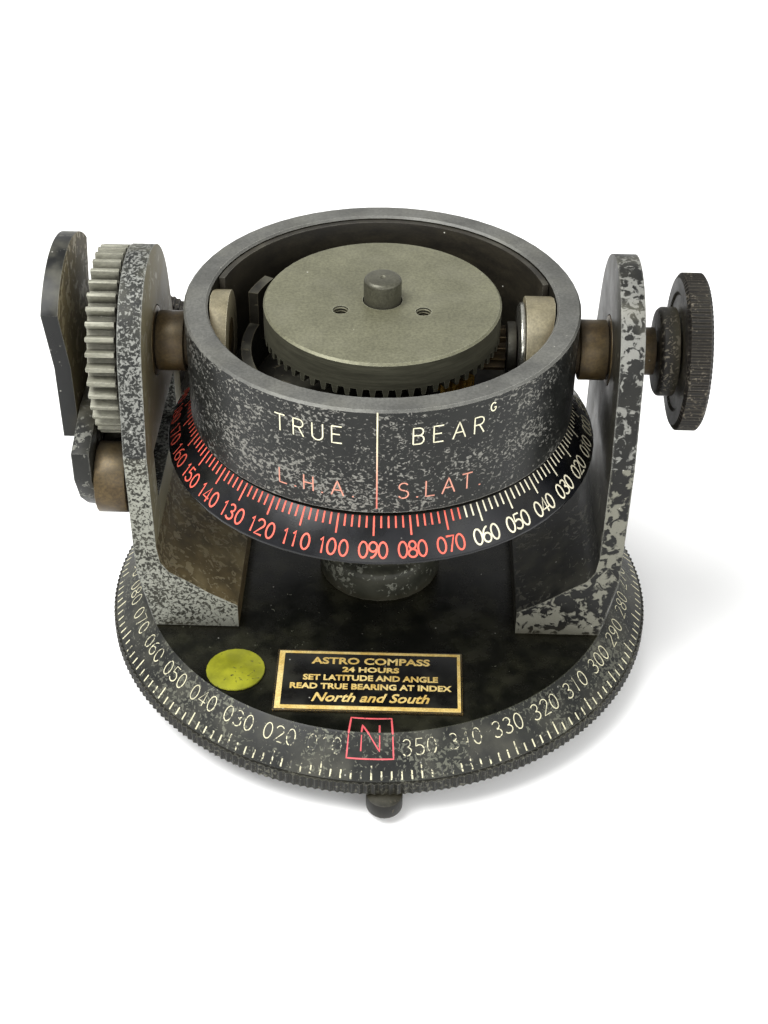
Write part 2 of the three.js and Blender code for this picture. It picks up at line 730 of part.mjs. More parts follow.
// ---------------------------------------------------------------- hour rotor
{
  const disc = ringOf(
    [
      [POLAR_R + RUN, crownBottom],
      [POLAR_BOSS_R, crownBottom],
      [POLAR_BOSS_R, slotTop],
      [CROWN_TOOTH_IN, slotTop],
      [CROWN_TOOTH_IN, crownBottom],
      [CROWN_R, crownBottom],
      [CROWN_R, crownTop - RIM_BREAK],
      [CROWN_R - RIM_BREAK, crownTop],
      [PIN_R + RUN, crownTop],
      [PIN_R + RUN, slotTop],
      [POLAR_R + RUN, slotTop],
    ],
    CROWN_TEETH,
  );
  const slots = [];
  const pitch = 360 / CROWN_TEETH;
  const spread = (CROWN_R - meshR) / meshR; // the pitch grows this much towards the rim
  for (let i = 0; i < CROWN_TEETH; i += 1) {
    const wide = rad(pitch) * (0.39 + spread / 2);
    const narrow = rad(pitch) * (0.19 + spread / 2);
    const from = CROWN_TOOTH_IN - 1;
    const to = CROWN_R + 1;
    const slot = new THREE.BoxGeometry(to - from, 1, CROWN_TOOTH_H + 1);
    const place = slot.attributes.position;
    for (let k = 0; k < place.count; k += 1) {
      const x = place.getX(k) + (from + to) / 2;
      const up = place.getZ(k) > 0;
      const angle = Math.sign(place.getY(k)) * (up ? narrow : wide);
      const z = up ? slotTop - 0.3 : crownBottom - 1;
      place.setXYZ(k, x * Math.cos(angle), x * Math.sin(angle), z);
    }
    slots.push(slot.rotateZ(rad(pitch * i)));
  }
  const holes = [-1, 1].map((side) =>
    rod(SIGHT_HOLE_R, crownTop - SIGHT_HOLE_DEPTH, crownTop + 1, TINY).translate(
      side * SIGHT_HOLE_X,
      SIGHT_HOLE_Y,
      0,
    ),
  );
  add("crown_gear", cut(disc, ...slots, ...holes), OLIVE());
}
const polarTop = slotTop - GAP;
add(
  "hub_pin",
  turned(
    [
      [0, polarTop + GAP + 0.1],
      [PIN_R, polarTop + GAP + 0.1],
      [PIN_R, crownTop + PIN_H - 0.5],
      [PIN_R - 0.5, crownTop + PIN_H],
      [0.7, crownTop + PIN_H],
      [0, crownTop + PIN_H - 0.5],
    ],
    SMALL,
  ),
  OLIVE(),
);
const nutTop = ringTop - 4;
add(
  "polar_shaft",
  turned(
    [
      [0, nutTop - NUT_T - 0.8],
      [POLAR_R - 0.5, nutTop - NUT_T - 0.8],
      [POLAR_R, nutTop - NUT_T - 0.3],
      [POLAR_R, polarTop],
      [0, polarTop],
    ],
    SMALL,
  ),
  STEEL(),
);
{
  const outer = SPUR_TEETH * SPUR_MODULE * 0.5;
  const outline = toothed(SPUR_TEETH, outer - 0.75, outer + 0.45, 0.6, 0.28, rad(IDLER_ANGLE));
  add(
    "polar_spur",
    cut(
      prism(outline, spurBottom, SPUR_T),
      rod(POLAR_R + RUN, spurBottom - 1, spurBottom + SPUR_T + 1, SMALL),
    ),
    BRASS(),
  );
}
{
  const edge = ringEdge;
  const bevelTop = edge + RING_BEVEL_H;
  const ring = ringOf(
    [
      [POLAR_R + RUN, nutTop + GAP],
      [RING_HUB_R, nutTop + GAP],
      [RING_HUB_R, ringTop - RING_WALL],
      [RING_NECK_R - 2.2, ringTop - RING_WALL],
      [RING_R - 1.6, edge - 0.7],
      [RING_R, edge - 0.5],
      [RING_R, edge],
      [RING_NECK_R, bevelTop],
      [RING_NECK_R - 0.8, bevelTop],
      [RING_NECK_R - 0.8, ringTop],
      [POLAR_R + RUN, ringTop],
    ],
    LARGE,
  );
  add("hour_scale_ring", ring, GLOSS());
}
add(
  "retaining_nut",
  cut(
    prism(hexagon(NUT_AF), nutTop - NUT_T, NUT_T),
    rod(POLAR_R + RUN, nutTop - NUT_T - 1, nutTop + 1, SMALL),
  ),
  STEEL(),
);

// ---------------------------------------------------------------- idler
{
  const outer = IDLER_TEETH * SPUR_MODULE * 0.5;
  const pitch = (2 * Math.PI) / IDLER_TEETH;
  const facing = rad(IDLER_ANGLE) + Math.PI;
  const outline = toothed(IDLER_TEETH, outer - 0.75, outer + 0.45, 0.62, 0.26, facing + pitch / 2);
  add(
    "idler_gear",
    cut(
      prism(outline, spurBottom, SPUR_T),
      rod(IDLER_STUD_R + RUN, spurBottom - 1, spurBottom + SPUR_T + 1, TINY),
    ).translate(idlerX, idlerY, 0),
    BRASS(),
  );
}

// ---------------------------------------------------------------- hour drive
const knobIn = NECK_END + GAP + KNOB_HUB_T + 0.2;
const knobOut = knobIn + KNOB_T;
{
  const root = PINION_R - PINION_TOOTH;
  const outline = toothed(PINION_TEETH, root, PINION_R, 0.4, 0.14, Math.PI / 2);
  const pinion = plateX(outline, PINION_X, PINION_L);
  const bore = alongX(rod(DRIVE_R + RUN, PINION_X - 1, PINION_X + PINION_L + 1, TINY));
  add("drive_pinion", cut(pinion, bore).translate(0, 0, AXIS_Z), BRONZE());
}
add(
  "drive_shaft",
  alongX(rod(DRIVE_R, PINION_X - 0.4, knobOut - 0.4, TINY)).translate(0, 0, AXIS_Z),
  STEEL(),
);
add(
  "drive_collar",
  alongX(tube(COLLAR_R, DRIVE_R + RUN, collarX, collarX + COLLAR_T, SMALL)).translate(0, 0, AXIS_Z),
  BRIGHT(),
);
add(
  "spring_washer",
  alongX(
    ringOf(
      [
        [DRIVE_R + RUN, washerX],
        [WASHER_R - 0.6, washerX],
        [WASHER_R, washerX + 0.3],
        [WASHER_R, washerX + WASHER_T],
        [DRIVE_R + RUN, washerX + WASHER_T],
      ],
      SMALL,
    ),
  ).translate(0, 0, AXIS_Z),
  BRIGHT(),
);

// A knurled knob and its hub, drawn about Z with the hub towards lower Z.
function knobDisc(low, boreR) {
  const outline = serrated(KNOB_TEETH, KNOB_R - KNOB_TOOTH, KNOB_R);
  const body = prism(outline, low, KNOB_T);
  const shape = turned(
    [
      [0, low],
      [KNOB_R - 1, low],
      [KNOB_R + 0.1, low + 0.8],
      [KNOB_R + 0.1, low + KNOB_T - 0.8],
      [KNOB_R - 1, low + KNOB_T],
      [0, low + KNOB_T],
    ],
    SMALL + 12,
  );
  return cut(keep(body, shape), rod(boreR, low - 1, low + KNOB_T + 1, TINY));
}
const knobHub = (low, boreR) =>
  ringOf(
    [
      [boreR, low],
      [KNOB_HUB_R - 0.6, low],
      [KNOB_HUB_R, low + 0.6],
      [KNOB_HUB_R, low + KNOB_HUB_T],
      [boreR, low + KNOB_HUB_T],
    ],
    SMALL,
  );
add("hour_knob", alongX(knobDisc(knobIn, DRIVE_R + RUN)).translate(0, 0, AXIS_Z), BLACK());
add(
  "hour_knob_hub",
  alongX(knobHub(NECK_END + GAP, DRIVE_R + RUN)).translate(0, 0, AXIS_Z),
  BLACK(),
);

// ---------------------------------------------------------------- latitude drive
// The thread is a surface whose radius rises along a helix round the Y axis.
function wormThread(length, lead, root, crest, bore) {
  const around = 16;
  const rows = Math.round((length / lead) * 7);
  const positions = [];
  const index = [];
  const ringAt = (y, radiusAt) => {
    for (let i = 0; i < around; i += 1) {
      const angle = (i * 2 * Math.PI) / around;
      const r = radiusAt(angle);
      positions.push(r * Math.sin(angle), y, r * Math.cos(angle));
    }
  };
  for (let row = 0; row <= rows; row += 1) {
    const y = -length / 2 + (length * row) / rows;
    const end = Math.min(1, (length / 2 - Math.abs(y)) / 1);
    ringAt(y, (angle) => {
      const phase = (angle / (2 * Math.PI) - y / lead + 100.5) % 1;
      const rise = Math.max(0, 1 - Math.abs(phase - 0.5) / 0.24);
      return root + (crest - root) * rise * end;
    });
  }
  ringAt(length / 2, () => bore);
  ringAt(-length / 2, () => bore);
  const loops = rows + 3;
  for (let row = 0; row < loops; row += 1) {
    const next = (row + 1) % loops;
    for (let i = 0; i < around; i += 1) {
      const j = (i + 1) % around;
      const a = row * around + i;
      const b = row * around + j;
      const c = next * around + j;
      const d = next * around + i;
      index.push(a, b, c, a, c, d);
    }
  }
  const geometry = new THREE.BufferGeometry();
  geometry.setAttribute("position", new THREE.Float32BufferAttribute(positions, 3));
  geometry.setIndex(index);
  geometry.computeVertexNormals();
  return geometry;
}
add(
  "latitude_worm",
  wormThread(WORM_L, wormLead, WORM_PITCH_R - 1.1, wormCrest, WORM_SHAFT_R + RUN).translate(
    wormX,
    0,
    wormZ,
  ),
  STEEL(),
);
const latHubLow = shaftRear;
const latKnobLow = latHubLow + KNOB_HUB_T + 0.2;
add(
  "worm_shaft",
  alongY(rod(WORM_SHAFT_R, PIVOT_Y + 3.4, latKnobLow + KNOB_T - 0.4, TINY)).translate(wormX, 0, wormZ),
  STEEL(),
);
add(
  "latitude_knob_hub",
  alongY(knobHub(latHubLow, WORM_SHAFT_R + RUN)).translate(wormX, 0, wormZ),
  BLACK(),
);
add(
  "latitude_knob",
  alongY(knobDisc(latKnobLow, WORM_SHAFT_R + RUN)).translate(wormX, 0, wormZ),
  BLACK(),
);

export default instrument;
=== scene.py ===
# %% [markdown]
# # Astro compass mount
# A graduated drum hangs on trunnions between two uprights. The uprights stand on a turntable,
# which turns on a small base plate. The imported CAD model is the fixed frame: every piece made
# here takes its place from it, and rides on one of its bodies.

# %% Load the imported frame
import json
import math

import bpy
from mathutils import Matrix, Vector

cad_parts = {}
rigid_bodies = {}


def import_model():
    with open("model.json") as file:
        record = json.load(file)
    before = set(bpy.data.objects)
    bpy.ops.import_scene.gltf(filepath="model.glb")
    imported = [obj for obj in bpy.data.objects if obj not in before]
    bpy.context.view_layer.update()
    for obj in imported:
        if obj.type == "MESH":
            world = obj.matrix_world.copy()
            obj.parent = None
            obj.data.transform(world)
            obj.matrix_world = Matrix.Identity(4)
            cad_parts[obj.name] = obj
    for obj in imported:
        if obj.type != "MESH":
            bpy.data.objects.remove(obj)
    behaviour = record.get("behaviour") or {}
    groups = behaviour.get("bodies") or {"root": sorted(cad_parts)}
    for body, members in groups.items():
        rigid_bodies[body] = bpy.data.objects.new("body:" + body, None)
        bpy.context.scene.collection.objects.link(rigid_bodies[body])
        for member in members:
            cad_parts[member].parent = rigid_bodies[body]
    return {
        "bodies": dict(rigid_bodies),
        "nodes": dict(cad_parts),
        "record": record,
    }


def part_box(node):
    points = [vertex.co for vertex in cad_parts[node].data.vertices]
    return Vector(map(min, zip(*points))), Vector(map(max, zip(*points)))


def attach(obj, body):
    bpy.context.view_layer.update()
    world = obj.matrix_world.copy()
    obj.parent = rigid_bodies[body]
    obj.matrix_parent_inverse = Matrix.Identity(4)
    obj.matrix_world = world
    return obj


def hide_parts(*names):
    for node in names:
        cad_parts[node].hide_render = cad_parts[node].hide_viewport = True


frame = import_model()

MM = 0.001
NODES = frame["nodes"]
BODY_OF = {node: body for body, nodes in frame["record"]["behaviour"]["bodies"].items() for node in nodes}
for left_over in set(bpy.data.objects) - set(NODES.values()) - set(frame["bodies"].values()):
    bpy.data.objects.remove(left_over)  # what an empty start-up scene comes with
bpy.context.view_layer.update()

# %% [markdown]
# ## Selecting
# An operator acts on everything that is selected, and loading leaves the CAD nodes selected.
# These helpers start from nothing selected, and pick faces by a test on their place and normal.


# %% Selecting
def only(*pieces):
    bpy.ops.object.select_all(action="DESELECT")
    for piece in pieces:
        piece.select_set(True)
    bpy.context.view_layer.objects.active = pieces[0]


def pick_faces(piece, test):
    """Leaves edit mode's face selection on the faces whose centre and normal pass the test."""
    only(piece)
    bpy.ops.object.mode_set(mode="EDIT")
    bpy.ops.mesh.select_mode(type="FACE")
    bpy.ops.mesh.select_all(action="DESELECT")
    bpy.ops.object.mode_set(mode="OBJECT")
    for face in piece.data.polygons:
        face.select = test(face.center / MM, face.normal)
    bpy.ops.object.mode_set(mode="EDIT")


def coat(piece, look, test):
    """Gives the faces that pass the test another finish."""
    piece.data.materials.append(look)
    pick_faces(piece, test)
    piece.active_material_index = len(piece.data.materials) - 1
    bpy.ops.object.material_slot_assign()
    bpy.ops.object.mode_set(mode="OBJECT")


def bevelled(piece, width, angle=40, segments=2):
    only(piece)
    bpy.ops.object.modifier_add(type="BEVEL")
    bevel = piece.modifiers[-1]
    bevel.width = width * MM
    bevel.segments = segments
    bevel.limit_method = "ANGLE"
    bevel.angle_limit = math.radians(angle)
    bevel.use_clamp_overlap = True
    bpy.ops.object.modifier_apply(modifier=bevel.name)


def smoothed(piece, angle=32):
    only(piece)
    bpy.ops.object.shade_smooth_by_angle(angle=math.radians(angle))


# %% [markdown]
# ## Shader building blocks
# Real wear has a scale in millimetres, so every pattern reads Object coordinates, which are
# metres on the piece itself. The effects that several finishes share are node groups: flecks of
# bare metal, wear along edges, dust in corners, and fine turning marks.


# %% Node helpers
def linear(code):
    """A colour written as six hex digits, as linear RGBA."""
    parts = [int(code[i : i + 2], 16) / 255 for i in (0, 2, 4)]
    return tuple(p / 12.92 if p <= 0.04045 else ((p + 0.055) / 1.055) ** 2.4 for p in parts) + (1,)


def dimmed(code, part):
    """The same colour, darker."""
    return tuple(c * part for c in linear(code)[:3]) + (1,)


def put(tree, kind, links=None, **settings):
    """Adds a node, sets it up, and fills its inputs from other sockets or with values."""
    made = tree.nodes.new(kind)
    for key, value in settings.items():
        setattr(made, key, value)
    for label, value in (links or {}).items():
        socket = made.inputs[label]
        if isinstance(value, bpy.types.NodeSocket):
            tree.links.new(value, socket)
        else:
            socket.default_value = value
    return made


def sums(tree, operation, a, b, clamp=False):
    """A Math node's output."""
    made = put(tree, "ShaderNodeMath", {0: a, 1: b}, operation=operation, use_clamp=clamp)
    return made.outputs[0]


def blend_colour(tree, mask, a, b, kind="MIX"):
    """A Mix node's colour: a where the mask is 0, b where it is 1."""
    made = put(tree, "ShaderNodeMix", {0: mask, 6: a, 7: b}, data_type="RGBA", blend_type=kind)
    return made.outputs[2]


def ramp(tree, value, low, high, to_low=0.0, to_high=1.0):
    """Maps low..high to to_low..to_high, smoothly and clamped."""
    made = put(
        tree,
        "ShaderNodeMapRange",
        {"Value": value, "From Min": low, "From Max": high, "To Min": to_low, "To Max": to_high},
        interpolation_type="SMOOTHSTEP",
    )
    return made.outputs["Result"]


def new_group(name, inputs, outputs):
    group = bpy.data.node_groups.new(name, "ShaderNodeTree")
    for label, kind, value in inputs:
        socket = group.interface.new_socket(name=label, in_out="INPUT", socket_type=kind)
        if value is not None:
            socket.default_value = value
    for label, kind in outputs:
        group.interface.new_socket(name=label, in_out="OUTPUT", socket_type=kind)
    start = group.nodes.new("NodeGroupInput")
    end = group.nodes.new("NodeGroupOutput")
    return group, start.outputs, end.inputs


FLOAT, VECTOR = "NodeSocketFloat", "NodeSocketVector"

# %% [markdown]
# ## Flecks
# Crackle paint wears through on its ridges, which leaves short bright flecks of bare alloy, in
# drifts where hands rub it. A distorted noise gives the flecks, a second, larger noise moves the
# threshold so that they gather, and stretching the coordinates makes them longer than wide.

# %% Fleck group
flecks_group, given, out = new_group(
    "bare_flecks",
    [
        ("Vector", VECTOR, None),
        ("Size mm", FLOAT, 1.0),
        ("Threshold", FLOAT, 0.6),
        ("Softness", FLOAT, 0.03),
        ("Drift mm", FLOAT, 14.0),
        ("Drift", FLOAT, 0.2),
        ("Seed", FLOAT, 0.0),
    ],
    [("Mask", FLOAT), ("Height", FLOAT)],
)
fine_scale = sums(flecks_group, "DIVIDE", 1000.0, given["Size mm"])
drift_scale = sums(flecks_group, "DIVIDE", 1000.0, given["Drift mm"])
fine = put(
    flecks_group,
    "ShaderNodeTexNoise",
    {
        "Vector": given["Vector"], "W": given["Seed"], "Scale": fine_scale,
        "Detail": 3.0, "Roughness": 0.55, "Distortion": 0.9,
    },
    noise_dimensions="4D",
).outputs["Fac"]
large = put(
    flecks_group,
    "ShaderNodeTexNoise",
    {"Vector": given["Vector"], "W": given["Seed"], "Scale": drift_scale, "Detail": 2.0, "Roughness": 0.5},
    noise_dimensions="4D",
).outputs["Fac"]
shift = sums(flecks_group, "MULTIPLY", sums(flecks_group, "SUBTRACT", large, 0.5), given["Drift"])
raised = sums(flecks_group, "ADD", fine, shift)
low = sums(flecks_group, "SUBTRACT", given["Threshold"], given["Softness"])
high = sums(flecks_group, "ADD", given["Threshold"], given["Softness"])
flecks_group.links.new(ramp(flecks_group, raised, low, high), out["Mask"])
flecks_group.links.new(raised, out["Height"])

# %% [markdown]
# ## Worn edges
# Paint goes first along outside edges. A rounded normal differs from the true one only near an
# edge, so the angle between them is a mask of the edges, which noise then breaks up.

# %% Edge group
edges_group, given, out = new_group(
    "worn_edges",
    [("Vector", VECTOR, None), ("Radius mm", FLOAT, 0.5), ("Amount", FLOAT, 0.5), ("Size mm", FLOAT, 1.0)],
    [("Mask", FLOAT)],
)
radius = sums(edges_group, "MULTIPLY", given["Radius mm"], MM)
rounded = put(edges_group, "ShaderNodeBevel", {"Radius": radius}, samples=4).outputs["Normal"]
facing = put(edges_group, "ShaderNodeNewGeometry").outputs["Normal"]
same = put(edges_group, "ShaderNodeVectorMath", {0: rounded, 1: facing}, operation="DOT_PRODUCT")
turn = sums(edges_group, "SUBTRACT", 1.0, same.outputs["Value"])
break_scale = sums(edges_group, "DIVIDE", 1000.0, given["Size mm"])
broken = put(
    edges_group,
    "ShaderNodeTexNoise",
    {"Vector": given["Vector"], "Scale": break_scale, "Detail": 4.0},
).outputs["Fac"]
TURN_GAIN = 5.0  # how fast wear sets in as the surface turns away
turned_away = sums(edges_group, "MULTIPLY", turn, TURN_GAIN)
worn = sums(edges_group, "ADD", turned_away, sums(edges_group, "SUBTRACT", broken, 0.5))
limit = sums(edges_group, "SUBTRACT", 1.0, given["Amount"])
edges_group.links.new(ramp(edges_group, worn, limit, sums(edges_group, "ADD", limit, 0.15)), out["Mask"])

# %% [markdown]
# ## Dust, grime and painted shade
# Ambient occlusion finds the corners, where a cloth doesn't reach, and darkens them: painted shade
# as well as grime. Loose dust lies on faces that look up, as a thin film and a few bright specks.

# %% Dust, grime and painted shade group
dust_shade_group, given, out = new_group(
    "dust_grime_and_shade",
    [("Vector", VECTOR, None), ("Reach mm", FLOAT, 6.0), ("Film", FLOAT, 0.3), ("Specks", FLOAT, 0.5)],
    [("Grime and shade", FLOAT), ("Film", FLOAT), ("Specks", FLOAT)],
)
reach = sums(dust_shade_group, "MULTIPLY", given["Reach mm"], MM)
PATCH_SCALE = 160.0  # patches of dirt about 6 mm across
SPECK_SCALE = 420.0  # cells of 2.4 mm, with at most one speck in each
openness = put(dust_shade_group, "ShaderNodeAmbientOcclusion", {"Distance": reach}, samples=6, only_local=False)
# one minus ambient occlusion: the corners, which get painted shade together with grime
occluded = sums(dust_shade_group, "SUBTRACT", 1.0, openness.outputs["AO"])
patches = {"Vector": given["Vector"], "Scale": PATCH_SCALE, "Detail": 5.0}
patchy = put(dust_shade_group, "ShaderNodeTexNoise", patches).outputs["Fac"]
grime_and_shade = sums(dust_shade_group, "MULTIPLY", occluded, sums(dust_shade_group, "ADD", patchy, 0.6))
dust_shade_group.links.new(ramp(dust_shade_group, grime_and_shade, 0.15, 0.75), out["Grime and shade"])
level = put(dust_shade_group, "ShaderNodeTexCoord").outputs["Normal"]
upward = put(dust_shade_group, "ShaderNodeSeparateXYZ", {0: level}).outputs["Z"]
thin = ramp(dust_shade_group, patchy, 0.42, 0.72)
film = sums(dust_shade_group, "MULTIPLY", thin, ramp(dust_shade_group, upward, 0.2, 0.9))
dust_shade_group.links.new(sums(dust_shade_group, "MULTIPLY", film, given["Film"], clamp=True), out["Film"])
cells = {"Vector": given["Vector"], "Scale": SPECK_SCALE, "Randomness": 1.0}
dots = put(dust_shade_group, "ShaderNodeTexVoronoi", cells).outputs
tiny = ramp(dust_shade_group, dots["Distance"], 0.03, 0.09, 1.0, 0.0)
chosen = put(dust_shade_group, "ShaderNodeSeparateXYZ", {0: dots["Color"]}).outputs["X"]
few = ramp(dust_shade_group, chosen, 0.78, 0.86)
lying = sums(dust_shade_group, "MULTIPLY", tiny, few)
dust_shade_group.links.new(sums(dust_shade_group, "MULTIPLY", lying, given["Specks"], clamp=True), out["Specks"])

# %% [markdown]
# ## Grain
# Castings and turned metal are never one even tone. This group gives a blotchy tone and a fine
# tooth; turned faces pass coordinates that are squeezed along the tool's path.

# %% Grain group
grain_group, given, out = new_group(
    "metal_grain",
    [("Vector", VECTOR, None), ("Blotch mm", FLOAT, 6.0), ("Tooth mm", FLOAT, 0.3)],
    [("Blotch", FLOAT), ("Tooth", FLOAT)],
)
blotch_scale = sums(grain_group, "DIVIDE", 1000.0, given["Blotch mm"])
blotches = {"Vector": given["Vector"], "Scale": blotch_scale, "Detail": 6.0, "Roughness": 0.6}
blotch = put(grain_group, "ShaderNodeTexNoise", blotches).outputs["Fac"]
tooth_scale = sums(grain_group, "DIVIDE", 1000.0, given["Tooth mm"])
teeth = {"Vector": given["Vector"], "Scale": tooth_scale, "Detail": 3.0, "Roughness": 0.7}
tooth = put(grain_group, "ShaderNodeTexNoise", teeth).outputs["Fac"]
grain_group.links.new(ramp(grain_group, blotch, 0.3, 0.7), out["Blotch"])
grain_group.links.new(tooth, out["Tooth"])


# %% [markdown]
# ## Finishes
# A painted finish is a dark coat, bare metal where flecks and edges have worn through, grime and
# painted shade in the corners, and dust on top. A metal finish is two tones of the metal mixed by its
# blotches, darkened in its corners by grime and painted shade, with a fine tooth in the surface.


# %% Painted finishes
LINT, LINT_ON_METAL = "d8d6cc", "dedccf"


def place(tree, stretch=(1, 1, 1)):
    """Object coordinates, stretched; a larger number packs the pattern closer on that axis."""
    coordinates = put(tree, "ShaderNodeTexCoord").outputs["Object"]
    return put(tree, "ShaderNodeMapping", {"Vector": coordinates, "Scale": stretch}).outputs["Vector"]


def fill(tree, group, where, **values):
    """Places a node group and fills its inputs."""
    return put(tree, "ShaderNodeGroup", {"Vector": where, **values}, node_tree=group).outputs


def new_look(name):
    look = bpy.data.materials.new(name)
    look.use_nodes = True
    return look, look.node_tree, look.node_tree.nodes["Principled BSDF"]


def painted(
    name, coat_tone, coat_tone_2, bare, size=1.0, threshold=0.6, drift=0.25, drift_mm=14.0, softness=0.02,
    edge=0.5, edge_mm=0.5, gloss=0.35, bare_rough=0.5, grime_shade_tone="3a3628", grime_shade_part=0.6, film=0.2,
    dust="8f8d7c", specks=0.4, stretch=(1, 1, 1), seed=0.0, depth=0.06, bare_metal=0.5, reach=5.0,
    shine=0.22, fewer=None,
):
    """Paint in two close tones, worn to bare metal in flecks of a size in mm and along the edges."""
    look, tree, shader = new_look(name)
    shader.inputs["Specular IOR Level"].default_value = shine
    where = place(tree)
    if fewer:  # from one place along X to another, in mm, the flecks get rarer by this much
        sideways = put(tree, "ShaderNodeSeparateXYZ", {0: where}).outputs["X"]
        rarer = ramp(tree, sideways, fewer[0] * MM, fewer[1] * MM, 0.0, fewer[2])
        threshold = sums(tree, "ADD", threshold, rarer)
    stretched = place(tree, stretch)
    chips = fill(tree, flecks_group, stretched, **{
        "Size mm": size, "Threshold": threshold, "Softness": softness, "Drift mm": drift_mm,
        "Drift": drift, "Seed": seed})
    edges = fill(tree, edges_group, where, **{"Radius mm": edge_mm, "Amount": edge, "Size mm": 1.2})
    grain = fill(tree, grain_group, where, **{"Blotch mm": 5.0, "Tooth mm": 0.25})
    dirt_and_shade = fill(tree, dust_shade_group, where, **{"Reach mm": reach, "Film": film, "Specks": specks})
    worn_mask = sums(tree, "MAXIMUM", chips["Mask"], edges["Mask"])
    paint = blend_colour(tree, grain["Blotch"], linear(coat_tone), linear(coat_tone_2))
    bared = blend_colour(tree, grain["Tooth"], dimmed(bare, 0.55), linear(bare))
    tone = blend_colour(tree, worn_mask, paint, bared)
    # the grime tone in the corners that ambient occlusion finds is painted shade as well as grime
    tone = blend_colour(tree, sums(tree, "MULTIPLY", dirt_and_shade["Grime and shade"], grime_shade_part), tone, linear(grime_shade_tone))
    tone = blend_colour(tree, dirt_and_shade["Film"], tone, linear(dust))
    tone = blend_colour(tree, dirt_and_shade["Specks"], tone, linear(LINT))
    tree.links.new(tone, shader.inputs["Base Color"])
    rough = ramp(tree, worn_mask, 0.0, 1.0, gloss, bare_rough)
    rough = sums(tree, "ADD", rough, sums(tree, "MULTIPLY", dirt_and_shade["Film"], 0.4))
    uneven = sums(tree, "MULTIPLY", sums(tree, "SUBTRACT", grain["Blotch"], 0.5), 0.12)
    rough = sums(tree, "ADD", rough, uneven, clamp=True)
    tree.links.new(rough, shader.inputs["Roughness"])
    if bare_metal:
        tree.links.new(sums(tree, "MULTIPLY", worn_mask, bare_metal), shader.inputs["Metallic"])
    height = sums(tree, "SUBTRACT", sums(tree, "MULTIPLY", grain["Tooth"], 0.25), worn_mask)
    bump = put(tree, "ShaderNodeBump", {"Height": height, "Distance": depth * MM, "Strength": 0.6})
    tree.links.new(bump.outputs["Normal"], shader.inputs["Normal"])
    return look


# %% Metal finishes
def metal(
    name, tone_a, tone_b, rough=0.45, metallic=0.8, blotch=6.0, tooth=0.3, stretch=(1, 1, 1), grime_shade_tone="2a251a",
    grime_shade_part=0.7, reach=4.0, edge=0.0, edge_tone="b8b6a8", specks=0.15, film=0.1, dust="8f8d7c", depth=0.02,
    tooth_rough=0.15,
):
    """Bare metal in two close tones, with tool marks of a size in mm, and dirt and painted shade in its
    corners.
    """
    look, tree, shader = new_look(name)
    where = place(tree)
    grain = fill(tree, grain_group, place(tree, stretch), **{"Blotch mm": blotch, "Tooth mm": tooth})
    dirt_and_shade = fill(tree, dust_shade_group, where, **{"Reach mm": reach, "Film": film, "Specks": specks})
    tone = blend_colour(tree, grain["Blotch"], linear(tone_a), linear(tone_b))
    streaks = ramp(tree, grain["Tooth"], 0.3, 0.7, 0.72, 1.12)
    grey = put(tree, "ShaderNodeCombineXYZ", {0: streaks, 1: streaks, 2: streaks}).outputs[0]
    tone = blend_colour(tree, 1.0, tone, grey, "MULTIPLY")
    if edge:
        bright = fill(tree, edges_group, where, **{"Radius mm": 0.3, "Amount": edge, "Size mm": 2.0})
        tone = blend_colour(tree, bright["Mask"], tone, linear(edge_tone))
    # the grime tone in the corners that ambient occlusion finds is painted shade as well as grime
    tone = blend_colour(tree, sums(tree, "MULTIPLY", dirt_and_shade["Grime and shade"], grime_shade_part), tone, linear(grime_shade_tone))
    tone = blend_colour(tree, dirt_and_shade["Film"], tone, linear(dust))
    tone = blend_colour(tree, dirt_and_shade["Specks"], tone, linear(LINT_ON_METAL))
    tree.links.new(tone, shader.inputs["Base Color"])
    shader.inputs["Metallic"].default_value = metallic
    spread = sums(tree, "MULTIPLY", sums(tree, "SUBTRACT", grain["Tooth"], 0.5), tooth_rough)
    dull = sums(tree, "MULTIPLY", dirt_and_shade["Grime and shade"], 0.3)
    rough = sums(tree, "ADD", sums(tree, "ADD", spread, rough), dull, clamp=True)
    tree.links.new(rough, shader.inputs["Roughness"])
    bump = put(tree, "ShaderNodeBump", {"Height": grain["Tooth"], "Distance": depth * MM, "Strength": 0.5})
    tree.links.new(bump.outputs["Normal"], shader.inputs["Normal"])
    return look


def filled(name, tone, worn_tone, keep=0.9, size=0.8, seed=0.0, low=None, rubbed=None):
    """Paint in an engraved mark, with gaps where it has fallen out, most of them in the rubbed part."""
    look, tree, shader = new_look(name)
    where = place(tree)
    if rubbed:
        forward = put(tree, "ShaderNodeSeparateXYZ", {0: where}).outputs["Y"]
        part = ramp(tree, forward, rubbed[0] * MM, rubbed[1] * MM, rubbed[2], 0.0)
        keep = sums(tree, "SUBTRACT", keep, part)
    chips = fill(tree, flecks_group, where, **{
        "Size mm": size, "Threshold": keep, "Softness": 0.04, "Drift mm": 9.0, "Drift": 0.5, "Seed": seed})
    grain = fill(tree, grain_group, where, **{"Blotch mm": 3.0, "Tooth mm": 0.2})
    paint = blend_colour(tree, grain["Blotch"], dimmed(tone, 0.72), linear(tone))
    if low:
        height = put(tree, "ShaderNodeSeparateXYZ", {0: where}).outputs["Z"]
        lower_part = ramp(tree, height, low[1] * MM, low[2] * MM, 1.0, 0.0)
        paint = blend_colour(tree, lower_part, paint, linear(low[0]))
    tree.links.new(blend_colour(tree, chips["Mask"], paint, linear(worn_tone)), shader.inputs["Base Color"])
    shader.inputs["Roughness"].default_value = 0.55
    return look


print("finish makers ready")

# %% [markdown]
# ## The finishes of this object
# Tones are written as six hex digits. The drum's wall is crackle black with long silvery flecks;
# the turntable is a smoother gloss black, worn grey along the corner of its scale; the bearing
# metals are bronze, brass and olive steel.

